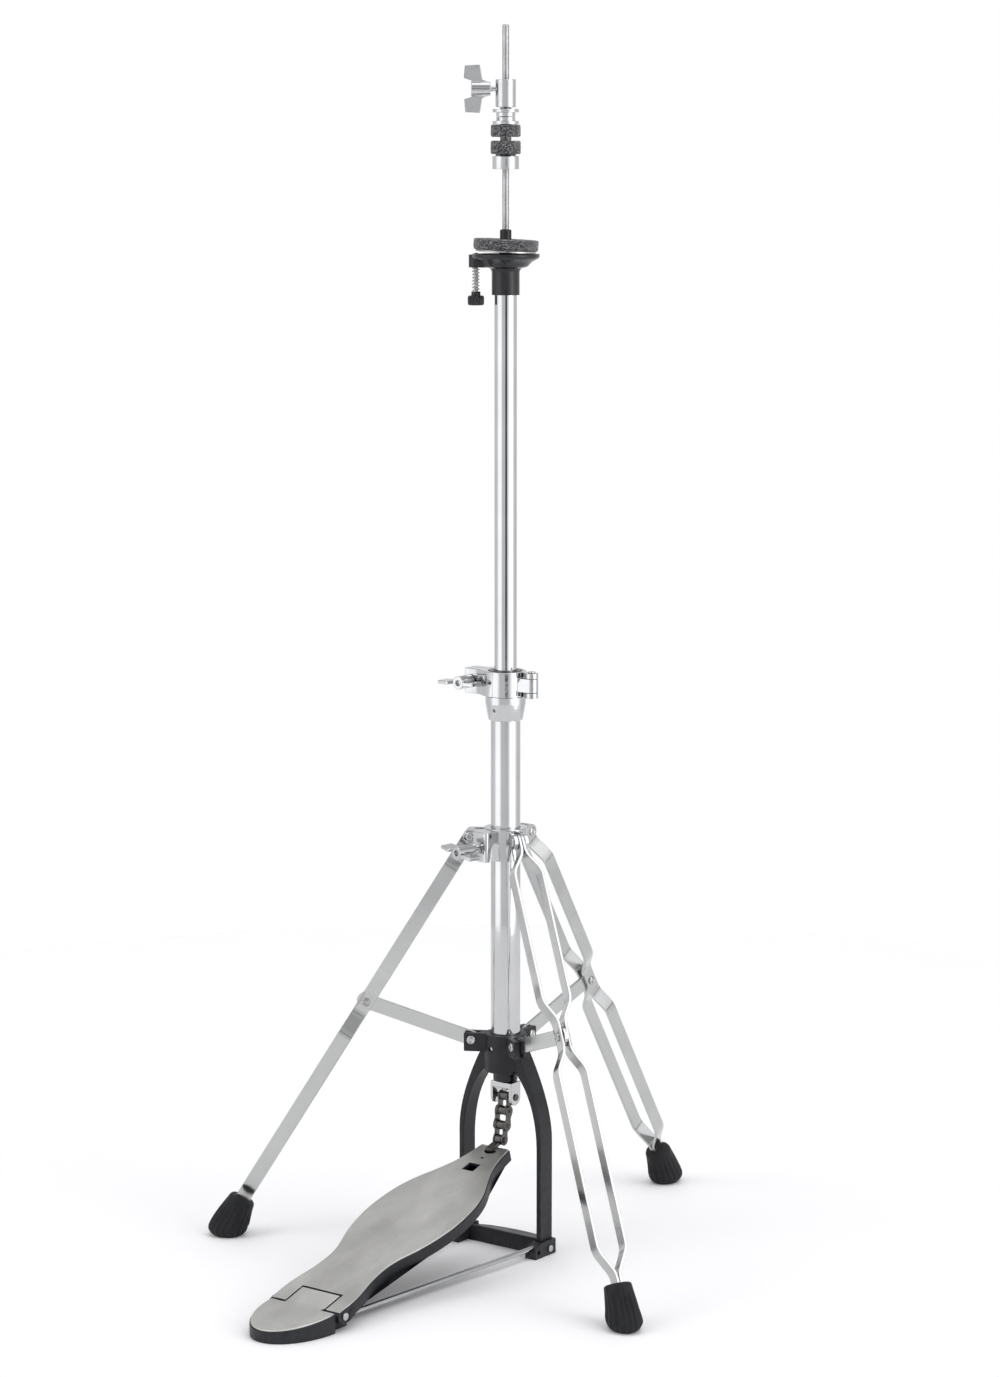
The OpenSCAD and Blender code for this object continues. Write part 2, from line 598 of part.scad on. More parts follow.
boss_y = -31;             // face of the boss that holds the wing screw
boss_a = -10;             // the boss's turn from -Y
collar_screw_z = 353;
module leg_collar() color([0.86, 0.87, 0.89]) difference() {
  union() {
    translate([0, 0, collar_z]) cylinder(r = collar_r, h = collar_h, $fn = 64);
    for (a = leg_dirs) at_leg(a) for (y = [2.95, -6.45]) {
      translate([12, y, collar_pivot_z - ear_r]) cube([collar_pivot_r - 12, 3.5, 2 * ear_r]);
      translate([collar_pivot_r, 0, collar_pivot_z]) along_y(ear_r, y, y + 3.5);
    }
    rotate([0, 0, boss_a]) translate([0, 0, collar_z + 0.8]) {
      translate([-9, boss_y + 3, 0]) cube([18, 20, 25.4]);
      translate([-6, boss_y, 0]) cube([12, 10, 25.4]);
      for (x = [-6, 6]) translate([x, boss_y + 3, 0]) cylinder(r = 3, h = 25.4, $fn = 32);
    }
  }
  translate([0, 0, collar_z - 1]) cylinder(r = tube_hole_r, h = collar_h + 2, $fn = 64);
  for (a = leg_dirs) at_leg(a) translate([collar_pivot_r, 0, collar_pivot_z]) along_y(pin_r, -20, 20);
  rotate([0, 0, boss_a]) translate([0, 0, collar_screw_z]) along_y(3.05, -40, -12);
}
module leg_pivot_pins() color([0.8, 0.8, 0.82]) {
  for (a = leg_dirs) at_leg(a) translate([collar_pivot_r, 0, collar_pivot_z]) {
    along_y(pin_r, -6.6, 6.6);
    along_y(3.9, 6.5, 7.9);
    along_y(3.9, -7.9, -6.5);
  }
}
module collar_wing_screw() color([0.86, 0.87, 0.89]) rotate([0, 0, boss_a])
  translate([0, boss_y - 0.4, collar_screw_z]) rotate([0, 0, -90]) rotate([80, 0, 0])
    wing_screw(3, 18.4, 4, 5.5, 5.6, 20, 38);

strap_line = rounded([[-strap_w / 2, pinched], [12, pinched], [28, strap_spread], [knee_l - 30, strap_spread],
  [knee_l - 14, knee_pinch], [knee_l + 14, knee_pinch], [knee_l + 30, strap_spread],
  [foot_start - 28, strap_spread], [foot_start - 8, pinched], [foot_start + 20, pinched]], 5);
module strap() {
  difference() {
    intersection() {
      translate([0, 0, -strap_w / 2]) linear_extrude(strap_w) polygon(ribbon(strap_line, strap_t));
      rotate([90, 0, 0]) translate([0, 0, -40]) linear_extrude(80) {
        circle(d = strap_w);
        translate([0, -strap_w / 2]) square([foot_start + 20, strap_w]);
      }
    }
    along_y(pin_r + slack, -20, 20);
    translate([knee_l, 0, 0]) along_y(pin_r, -20, 20);
  }
}
module knee_rivet() {
  head = knee_pinch + strap_t / 2;
  translate([knee_l, 0, 0]) {
    along_y(pin_r, -head - 0.1, head + 0.1);
    along_y(3.6, head + 0.02, head + 1.5);
    along_y(3.6, -head - 1.5, -head - 0.02);
  }
}
module leg(a) color([0.84, 0.85, 0.87]) along_leg(a) {
  strap();
  mirror([0, 1, 0]) strap();
  knee_rivet();
}
foot_tilt = 27;
foot_r = collar_pivot_r + foot_start * sin(leg_tilt);
foot_z = collar_pivot_z - foot_start * cos(leg_tilt);
// A leaning, flared rubber foot, longer outwards than across, whose lower end is rounded off to stand flat
module foot(a) color([0.05, 0.05, 0.055]) difference() {
  at_leg(a) intersection() {
    for (lean = [foot_tilt - 4, foot_tilt + 4]) translate([foot_r, 0, foot_z]) rotate([0, 180 - lean, 0])
      rotate_extrude($fn = 48) polygon([[0, 0], [9.8, 0], [11.2, 0.7], [11.7, 2.2], [12.8, 11], [13.8, 20],
        [14.8, 28], [15.6, 33], [17, 44], [0, 44]]);
    for (x = [11.2, 16.2]) translate([foot_r + x, 0, 0]) rotate_extrude($fn = 48) polygon([[0, 0], [9.5, 0],
      [12, 1.8], [14, 4.8], [15, 8.5], [15.8, 12], [24, 19], [40, 31], [40, 60], [0, 60]]);
  }
  along_leg(a) translate([foot_start - 20, -2.8, -strap_w / 2 - 0.05]) cube([40.1, 5.6, strap_w + 0.1]);
}
module stretcher(a) color([0.84, 0.85, 0.87]) at_leg(a)
  translate([hub_pivot_r, 0, hub_pivot_z]) rotate([0, -stretcher_rise, 0])
    translate([0, stretcher_t / 2, 0]) rotate([90, 0, 0]) linear_extrude(stretcher_t) difference() {
      union() {
        circle(d = strap_w);
        translate([0, -strap_w / 2]) square([stretcher_l, strap_w]);
        translate([stretcher_l, 0]) circle(r = 8.5);
      }
      circle(r = pin_r + slack);
      translate([stretcher_l, 0]) circle(r = knee_slot_r);
    }

arch_frame();
base_plate();
lower_tube();
tube_collar();
clamp_body();
tube_bushing();
rod_bush();
base_rods();
bracket_bolts();
heel_plate();
heel_top();
hinge_axle();
hub_pins();
small_screws();
clamp_bolt();
clamp_hinge_pin();
footboard();
footboard_plate();
toe_hook();
upper_rod();
lower_rod();
rod_coupler();
rod_clevis();
clevis_pin();
spring_collar();
return_spring();
chain_inner_plates();
chain_outer_plates();
chain_pins();
chain_rollers();
upper_tube();
seat_cup();
tilt_spring();
seat_washer();
seat_felt();
tilt_screw();
tilt_knob();
clutch_body();
clutch_tube();
clutch_felt_upper();
clutch_felt_lower();
clutch_washer();
clutch_wing_screw();
jam_nut_upper();
jam_nut_lower();
clutch_nut();
clamp_jaw();
clamp_wing_nut();
leg_collar();
leg_pivot_pins();
collar_wing_screw();
leg(leg_left_a);  // leg_left
leg(leg_right_a);  // leg_right
leg(leg_rear_a);  // leg_rear
foot(leg_left_a);  // foot_left
foot(leg_right_a);  // foot_right
foot(leg_rear_a);  // foot_rear
stretcher(leg_left_a);  // stretcher_left
stretcher(leg_right_a);  // stretcher_right
stretcher(leg_rear_a);  // stretcher_rear
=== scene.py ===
"""Hi-hat stand: finished surfaces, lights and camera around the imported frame."""

import json
import math

import bmesh
import bpy
from mathutils import Matrix, Vector


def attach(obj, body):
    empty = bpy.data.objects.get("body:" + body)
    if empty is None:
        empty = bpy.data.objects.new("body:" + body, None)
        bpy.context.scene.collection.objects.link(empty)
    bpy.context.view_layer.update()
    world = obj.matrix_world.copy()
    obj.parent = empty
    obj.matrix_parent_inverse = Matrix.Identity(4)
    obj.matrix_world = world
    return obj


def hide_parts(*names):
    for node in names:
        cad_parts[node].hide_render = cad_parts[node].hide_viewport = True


bl_info = {
    "name": "Hi-hat stand finish",
    "version": (1, 0, 0),
    "blender": (4, 5, 0),
    "location": "3D View > Sidebar > Hi-hat stand",
    "description": "Builds the finished pieces of a hi-hat stand on its packed frame",
    "category": "Object",
}

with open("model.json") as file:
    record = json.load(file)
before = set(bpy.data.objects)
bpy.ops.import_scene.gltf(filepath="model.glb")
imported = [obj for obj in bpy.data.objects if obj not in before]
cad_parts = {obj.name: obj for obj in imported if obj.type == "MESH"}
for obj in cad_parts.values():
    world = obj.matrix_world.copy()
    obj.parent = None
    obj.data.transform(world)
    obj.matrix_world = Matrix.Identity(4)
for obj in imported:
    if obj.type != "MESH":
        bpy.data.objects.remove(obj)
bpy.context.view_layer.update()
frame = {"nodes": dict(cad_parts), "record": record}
BODY = {node: body for body, nodes in frame["record"]["behaviour"]["bodies"].items() for node in nodes}

MM = 0.001
AXIS_Y, AXIS_Z = Vector((0, 1, 0)), Vector((0, 0, 1))
LEGS = {"left": -150.0, "right": -30.0, "rear": 90.0}
NODE_MERGE = 0.02 * MM
NODE_FLATNESS = math.radians(0.6)

# The stage, in metres, degrees and watts

CAMERA_SPOT = (1.8063, -2.3953, 0.9345)
CAMERA_TURN = 37.11
CAMERA_DIP = 8.477
CAMERA_LENS = 93.71
FLOOR_RADIUS = 1.3
FLOOR_SIDES = 96
LAMPS = (
    # name, place, the point it looks at, width and height, power
    ("key softbox", (-1.6, -2.4, 2.6), (0, 0, 0.5), (1.6, 1.6), 14),
    ("fill softbox", (2.8, 0.6, 1.6), (0, 0, 0.5), (1.2, 1.8), 5),
    ("top softbox", (0.2, 0.4, 3.4), (0, 0, 0), (2.2, 2.2), 16),
)


# Places of the tripod, the pedal and the seat, in millimetres

COLLAR_PIVOT = (29.5, 360.6)
KNEE = (120.5, 212.9)
HUB_PIVOT = (29.0, 183.0)
LEG_TILT = math.atan2(KNEE[0] - COLLAR_PIVOT[0], COLLAR_PIVOT[1] - KNEE[1])
STRETCHER_RISE = math.atan2(KNEE[1] - HUB_PIVOT[1], KNEE[0] - HUB_PIVOT[0])
KNEE_LENGTH = math.hypot(KNEE[0] - COLLAR_PIVOT[0], COLLAR_PIVOT[1] - KNEE[1])
KNEE_FACE = 4.62
FOOT_START = 384.0
FOOT_LEAN = math.radians(27)
BOARD_PLACE = Matrix.Translation((0, -263, 13)) @ Matrix.Rotation(math.radians(16.3), 4, "X")
CHAIN_PLACE = Matrix.Translation((0, 0, 133.15)) @ Matrix.Rotation(math.radians(-11.35), 4, "X")
CHAIN_PITCH = 12.7
ROD_RADIUS = 3.0
SPRING_FOOT = 164.2
TILT_TURN = Matrix.Rotation(math.radians(-150), 4, "Z")
SEAT_PLACE = (TILT_TURN @ Matrix.Translation((-25, 0, 853)) @ Matrix.Rotation(math.radians(-2.5), 4, "Y")
              @ Matrix.Translation((25, 0, 0)))
TILT_SCREW_PLACE = TILT_TURN @ Matrix.Translation((25, 0, 0))


def leg_place(angle):
    """A leg's own frame: x down the leg from its top pivot, y across the pair of straps."""
    return (Matrix.Rotation(math.radians(angle), 4, "Z")
            @ Matrix.Translation((COLLAR_PIVOT[0], 0, COLLAR_PIVOT[1]))
            @ Matrix.Rotation(math.pi / 2 - LEG_TILT, 4, "Y"))


def stretcher_place(angle):
    """A stretcher's own frame: x out from the hub's pivot, y through its thickness."""
    return (Matrix.Rotation(math.radians(angle), 4, "Z")
            @ Matrix.Translation((HUB_PIVOT[0], 0, HUB_PIVOT[1]))
            @ Matrix.Rotation(-STRETCHER_RISE, 4, "Y"))


# Settings a user would change


class HatStandSizes(bpy.types.PropertyGroup):
    """Sizes of the finish: edges, ribs, threads and fibres"""

    casting_edge: bpy.props.FloatProperty(
        name="Casting edge", description="Rounding of the black castings' edges",
        default=0.9 * MM, min=0.1 * MM, max=2 * MM, unit="LENGTH", precision=5)
    chrome_edge: bpy.props.FloatProperty(
        name="Chrome edge", description="Rounding of the chromed fittings' edges",
        default=0.5 * MM, min=0.1 * MM, max=1.5 * MM, unit="LENGTH", precision=5)
    strap_edge: bpy.props.FloatProperty(
        name="Strap edge", description="Rounding of the flat leg straps' edges",
        default=0.45 * MM, min=0.1 * MM, max=1 * MM, unit="LENGTH", precision=5)
    thread_pitch: bpy.props.FloatProperty(
        name="Rod thread pitch", description="Distance between the threads of the pull rod",
        default=1.0 * MM, min=0.5 * MM, max=2 * MM, unit="LENGTH", precision=5)
    thread_depth: bpy.props.FloatProperty(
        name="Rod thread depth", description="Depth of the pull rod's threads",
        default=0.3 * MM, min=0.05 * MM, max=0.6 * MM, unit="LENGTH", precision=5)
    foot_ribs: bpy.props.IntProperty(
        name="Foot ribs", description="Ribs round each rubber foot", default=18, min=8, max=32)
    foot_rib_depth: bpy.props.FloatProperty(
        name="Foot rib depth", description="Depth of the grooves between the ribs of a foot",
        default=1.3 * MM, min=0.2 * MM, max=2 * MM, unit="LENGTH", precision=5)
    knob_flutes: bpy.props.IntProperty(
        name="Knob flutes", description="Flutes round the tilt screw's knob", default=16, min=8, max=32)
    nap_length: bpy.props.FloatProperty(
        name="Felt nap", description="Length of the loose fibres on the felts",
        default=0.9 * MM, min=0.1 * MM, max=2 * MM, unit="LENGTH", precision=5)


class HatStandFinishes(bpy.types.PropertyGroup):
    """Colours of the finish"""

    chrome: bpy.props.FloatVectorProperty(
        name="Chrome", description="Colour of the chrome plating", subtype="COLOR", size=3,
        default=(0.57, 0.575, 0.58), min=0, max=1)
    strap: bpy.props.FloatVectorProperty(
        name="Strap plating", description="Colour of the plated leg straps", subtype="COLOR", size=3,
        default=(0.53, 0.535, 0.53), min=0, max=1)
    plate: bpy.props.FloatVectorProperty(
        name="Pedal plate", description="Colour of the satin plates on the footboard and heel", subtype="COLOR",
        size=3, default=(0.66, 0.655, 0.63), min=0, max=1)
    casting: bpy.props.FloatVectorProperty(
        name="Casting", description="Colour of the black castings", subtype="COLOR", size=3,
        default=(0.013, 0.0135, 0.016), min=0, max=1)
    rubber: bpy.props.FloatVectorProperty(
        name="Foot rubber", description="Colour of the rubber feet", subtype="COLOR", size=3,
        default=(0.012, 0.0125, 0.0135), min=0, max=1)
    felt: bpy.props.FloatVectorProperty(
        name="Felt", description="Ground colour of the felts", subtype="COLOR", size=3,
        default=(0.028, 0.028, 0.031), min=0, max=1)


# Nodes


def add_node(tree, kind, inputs=None, **settings):
    """A node with its settings, and its inputs set to values or linked to sockets."""
    made = tree.nodes.new(kind)
    for key, value in settings.items():
        setattr(made, key, value)
    for key, value in (inputs or {}).items():
        feed(tree, made.inputs[key], value)
    return made


def feed(tree, socket, value):
    """Links a socket, or sets its value; a colour of three numbers gets an alpha."""
    if isinstance(value, bpy.types.NodeSocket):
        tree.links.new(value, socket)
    elif socket.type == "RGBA":
        socket.default_value = (*value[:3], 1)
    else:
        socket.default_value = value


# Materials


class Finish:
    """A node material on a piece's own grain coordinates, in metres."""

    def __init__(self, name, **shader):
        self.material = bpy.data.materials.new(name)
        self.material.use_nodes = True
        self.tree = self.material.node_tree
        self.tree.nodes.clear()
        out = self.add("ShaderNodeOutputMaterial")
        self.shader = self.add("ShaderNodeBsdfPrincipled", shader)
        self.tree.links.new(self.shader.outputs[0], out.inputs[0])
        self.grain = self.add("ShaderNodeAttribute", attribute_name="grain").outputs["Vector"]

    def add(self, kind, inputs=None, **settings):
        """A node in this material."""
        return add_node(self.tree, kind, inputs, **settings)

    def noise(self, scale, detail=3.0, stretch=(1, 1, 1), rough=0.5):
        """Noise of so many features a metre, stretched along the grain axes."""
        mapped = self.add("ShaderNodeMapping", {"Vector": self.grain, "Scale": stretch}).outputs[0]
        return self.add("ShaderNodeTexNoise", {"Vector": mapped, "Scale": scale, "Detail": detail,
                                              "Roughness": rough}).outputs["Fac"]

    def cells(self, scale):
        """The distance to the nearest of so many points a metre."""
        return self.add("ShaderNodeTexVoronoi", {"Vector": self.grain, "Scale": scale}).outputs["Distance"]

    def span(self, value, low, high, at=(0.3, 0.7)):
        """value from low to high as its source goes over the stretch at."""
        return self.add("ShaderNodeMapRange", {"Value": value, "From Min": at[0], "From Max": at[1],
                                              "To Min": low, "To Max": high}).outputs[0]

    def blend(self, share, first, second):
        """A colour between two, by a share."""
        return self.add("ShaderNodeMix", {0: share, 6: first, 7: second}, data_type="RGBA").outputs[2]

    def maths(self, operation, first, second):
        """One Math node."""
        return self.add("ShaderNodeMath", {0: first, 1: second}, operation=operation).outputs[0]

    def relief(self, *layers):
        """Bumps one over another: each is a height, a distance in metres and a strength."""
        normal = None
        for height, distance, strength in layers:
            under = {} if normal is None else {"Normal": normal}
            normal = self.add("ShaderNodeBump", {"Height": height, "Distance": distance,
                                                 "Strength": strength, **under}).outputs[0]
        feed(self.tree, self.shader.inputs["Normal"], normal)

    def edges(self, low, high):
        """0 on flats and 1 on outer edges, where the finish wears."""
        pointed = self.add("ShaderNodeNewGeometry").outputs["Pointiness"]
        return self.span(pointed, 0.0, 1.0, (low, high))

    def done(self, colour, rough):
        """Feeds the colour and the roughness."""
        feed(self.tree, self.shader.inputs["Base Color"], colour)
        feed(self.tree, self.shader.inputs["Roughness"], rough)
        return self.material


def scaled(colour, share):
    """A colour times a share."""
    return tuple(c * share for c in colour)


def plated(name, colour, rough, haze=0.35, ripple=0.2, rub=(1, 1, 1), soil=0.08):
    """Bright plating: hazy patches, faint rub lines and a slightly rippled skin."""
    f = Finish(name, Metallic=1.0)
    patches = f.noise(38, 4)
    lines = f.noise(700, 3, rub, 0.65)
    low, high = rough * (1 - haze), rough * (1 + haze)
    scratch = f.span(lines, 0, rough * 0.5, (0.62, 0.8))
    f.relief((f.noise(90, 2), 0.0004, ripple), (lines, 0.00002, 0.25))
    return f.done(f.blend(f.span(patches, 0, 1), scaled(colour, 1 - soil), colour),
                  f.maths("ADD", f.span(patches, low, high), scratch))


def satin_plate(name, colour):
    """Satin plate: short brushing along the board, cloudy blotches and a few specks."""
    f = Finish(name, Metallic=1.0)
    cloud = f.noise(16, 5, (1, 0.6, 1), 0.6)
    brush = f.noise(1500, 3, (1, 0.04, 1), 0.7)
    specks = f.span(f.cells(260), 1, 0, (0.05, 0.16))
    ground = f.blend(f.span(cloud, 0, 1, (0.38, 0.64)), scaled(colour, 0.8), scaled(colour, 1.12))
    ground = f.blend(f.span(brush, 0, 0.35), ground, scaled(colour, 0.72))
    ground = f.blend(f.maths("MULTIPLY", specks, 0.18), ground, scaled(colour, 0.5))
    f.relief((brush, 0.00003, 0.35), (cloud, 0.0004, 0.08))
    return f.done(ground, f.maths("ADD", f.span(cloud, 0.34, 0.46), f.span(brush, -0.04, 0.06)))


def cast_paint(name, colour):
    """Satin black paint on a casting: a fine orange peel, dull patches and edges rubbed lighter."""
    f = Finish(name, **{"Specular IOR Level": 0.28})
    peel = f.noise(900, 3)
    patches = f.noise(55, 4)
    worn = f.maths("MULTIPLY", f.edges(0.52, 0.6), f.span(f.noise(240, 4), 0, 1, (0.45, 0.65)))
    ground = f.blend(f.span(patches, 0, 1), scaled(colour, 0.8), scaled(colour, 1.5))
    ground = f.blend(f.maths("MULTIPLY", worn, 0.5), ground, (0.09, 0.09, 0.095))
    f.relief((patches, 0.0004, 0.06), (peel, 0.00012, 0.3))
    return f.done(ground, f.span(patches, 0.36, 0.5))


def moulded(name, colour, rough, grain, depth, gloss):
    """Moulded plastic or rubber with a fine grain, dust in it and slight flow marks."""
    f = Finish(name, **{"Specular IOR Level": gloss})
    fine = f.noise(grain, 4, rough=0.6)
    flow = f.noise(70, 3, (1, 1, 0.4))
    dust = f.span(f.noise(320, 6, rough=0.7), 0, 0.35, (0.55, 0.8))
    ground = f.blend(f.span(flow, 0, 1), scaled(colour, 0.75), scaled(colour, 1.3))
    ground = f.blend(dust, ground, (0.06, 0.06, 0.062))
    f.relief((flow, 0.0005, 0.08), (fine, depth, 0.4))
    grained = f.span(fine, rough * 0.85, rough * 1.15)
    return f.done(ground, f.maths("ADD", grained, f.span(dust, 0, 0.08, (0, 0.35))))


def felted(name, colour):
    """Pressed wool felt: dark ground, matted fibres and lighter flecks."""
    f = Finish(name, **{"Sheen Weight": 0.35, "Sheen Roughness": 0.5, "Specular IOR Level": 0.2})
    wool = f.noise(520, 8, rough=0.75)
    mat = f.noise(200, 5, (1, 1, 1.8), 0.6)
    fleck = f.span(f.noise(620, 5, (1, 1, 1.6), 0.75), 0, 1, (0.51, 0.6))
    ground = f.blend(f.span(mat, 0, 1, (0.35, 0.65)), scaled(colour, 0.45), scaled(colour, 1.7))
    ground = f.blend(f.maths("MULTIPLY", fleck, 0.75), ground, (0.34, 0.34, 0.345))
    f.relief((mat, 0.0012, 0.5), (wool, 0.0008, 0.9))
    return f.done(ground, f.span(wool, 0.85, 1.0))


def turned(name, colour, rough):
    """Turned or drawn metal with circular tool marks round Z and small stains."""
    f = Finish(name, Metallic=1.0)
    marks = f.noise(2200, 2, (0.02, 0.02, 1), 0.6)
    stain = f.noise(130, 5, rough=0.6)
    ground = f.blend(f.span(stain, 0, 1), scaled(colour, 0.72), colour)
    f.relief((marks, 0.00003, 0.35), (stain, 0.0001, 0.15))
    stained = f.span(stain, rough * 0.8, rough * 1.3)
    return f.done(ground, f.maths("ADD", stained, f.span(marks, -0.03, 0.05)))


FINISHES = {}


def finishes():
    """All the stand's materials by the record's slot names, made once."""
    if FINISHES:
        return FINISHES
    look = bpy.context.scene.hat_stand_finishes
    chrome = tuple(look.chrome)
    FINISHES.update({
        "tube_chrome": plated("polished tube", chrome, 0.06, ripple=0.06, rub=(1, 1, 0.02)),
        "fitting_chrome": plated("polished casting", chrome, 0.08, ripple=0.25, soil=0.12),
        "strap_chrome": plated("plated strap", tuple(look.strap), 0.17, ripple=0.18, rub=(0.03, 1, 1),
                               soil=0.1),
        "fastener_steel": plated("plated fastener", (0.52, 0.52, 0.51), 0.2, ripple=0.3, soil=0.25),
        "brushed_plate": satin_plate("satin pedal plate", tuple(look.plate)),
        "rod_steel": turned("ground rod", (0.5, 0.5, 0.51), 0.2),
        "coupler_brass": turned("turned brass", (0.66, 0.47, 0.20), 0.3),
        "spring_steel": turned("spring wire", (0.58, 0.58, 0.57), 0.2),
        "chain_steel": turned("oiled chain steel", (0.13, 0.125, 0.12), 0.3),
        "black_casting": cast_paint("black casting paint", tuple(look.casting)),
        "black_nylon": moulded("moulded black nylon", (0.012, 0.0125, 0.014), 0.22, 1200, 0.00005,
                               0.36),
        "foot_rubber": moulded("moulded foot rubber", tuple(look.rubber), 0.5, 1000, 0.0001, 0.2),
        "felt": felted("pressed wool felt", tuple(look.felt)),
    })
    return FINISHES


# Mesh helpers: everything is drawn in millimetres and becomes a mesh in metres


def sizes():
    """The scene's size settings."""
    return bpy.context.scene.hat_stand_sizes


def new_piece(name, mesh, body, slot, nodes=(), edge=0.0, place=None, crease=35.0):
    """Gives a mesh its grain, material, soft edges and body, and hides the nodes it stands for."""
    co = [v.co.copy() for v in mesh.vertices]
    inverse = place.inverted() if place is not None else None
    grain = mesh.attributes.new("grain", "FLOAT_VECTOR", "POINT")
    for index, point in enumerate(co):
        grain.data[index].vector = (inverse @ (point / MM)) * MM if inverse is not None else point
    mesh.materials.clear()
    mesh.materials.append(finishes()[slot])
    mesh.polygons.foreach_set("use_smooth", [True] * len(mesh.polygons))
    mesh.set_sharp_from_angle(angle=math.radians(crease))
    piece = bpy.data.objects.new(name, mesh)
    bpy.context.scene.collection.objects.link(piece)
    if edge:
        bevel = piece.modifiers.new("Soft edges", "BEVEL")
        bevel.width = edge
        bevel.segments = 3
        bevel.limit_method = "ANGLE"
        bevel.angle_limit = math.radians(crease)
        bevel.use_clamp_overlap = True
        bevel.harden_normals = True
    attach(piece, body)
    if nodes:
        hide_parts(*nodes)
    return piece


def mesh_from(bm, name, place=None, scale=MM):
    """The bmesh as a mesh in metres, in its place, with its faces outwards."""
    bmesh.ops.remove_doubles(bm, verts=bm.verts, dist=0.0005)
    if place is not None:
        bm.transform(place)
    bmesh.ops.recalc_face_normals(bm, faces=bm.faces)
    bm.transform(Matrix.Scale(scale, 4))
    mesh = bpy.data.meshes.new(name)
    bm.to_mesh(mesh)
    bm.free()
    return mesh


def lathe(bm, profile, place=None, closed=True, segments=96, wave=None):
    """Turns a profile of (radius, height) round Z: closed for a ring, open if it ends on the axis."""
    rings = []
    for radius, height in profile:
        if radius < 1e-6:
            rings.append([bm.verts.new((0, 0, height))])
            continue
        ring = []
        for step in range(segments):
            angle = 2 * math.pi * step / segments
            r = radius + (wave(angle, radius, height) if wave else 0)
            ring.append(bm.verts.new((r * math.cos(angle), r * math.sin(angle), height)))
        rings.append(ring)
    pairs = list(zip(rings, rings[1:]))
    if closed:
        pairs.append((rings[-1], rings[0]))
    for low, high in pairs:
        for step in range(segments):
            after = (step + 1) % segments
            corners = [low[step % len(low)], low[after % len(low)],
                       high[after % len(high)], high[step % len(high)]]
            face = list(dict.fromkeys(corners))
            if len(face) > 2:
                bm.faces.new(face)
    if place is not None:
        moved = {v for ring in rings for v in ring}
        bmesh.ops.transform(bm, matrix=place, verts=list(moved))


def turned_piece(name, profile, node, slot, edge=0.3 * MM, place=None, closed=True, segments=96,
                 wave=None, crease=35.0):
    """A piece turned from a profile, standing for one CAD node."""
    bm = bmesh.new()
    lathe(bm, profile, place, closed, segments, wave)
    return new_piece(name, mesh_from(bm, name), BODY[node], slot, [node], edge, place, crease)


def ring_profile(outer, inner, low, high):
    """A plain hollow cylinder's profile."""
    return [(inner, low), (outer, low), (outer, high), (inner, high)]


def node_mesh(node, name):
    """A merged copy of a CAD node's mesh, in metres, with flat areas joined into single faces."""
    bm = bmesh.new()
    bm.from_mesh(frame["nodes"][node].data)
    bmesh.ops.remove_doubles(bm, verts=bm.verts, dist=NODE_MERGE)
    bmesh.ops.dissolve_degenerate(bm, edges=bm.edges, dist=NODE_MERGE)
    bmesh.ops.dissolve_limit(bm, angle_limit=NODE_FLATNESS, verts=bm.verts, edges=bm.edges,
                             use_dissolve_boundaries=False)
    mesh = bpy.data.meshes.new(name)
    bm.to_mesh(mesh)
    bm.free()
    return mesh


def finished_node(node, slot, edge, place=None, crease=35.0):
    """A CAD node's shape with softened edges, in place of the plain node."""
    name = node + "_finished"
    piece = new_piece(name, node_mesh(node, name), BODY[node], slot, [node], edge, place, crease)
    piece.modifiers["Soft edges"].use_clamp_overlap = False


# Geometry node trees


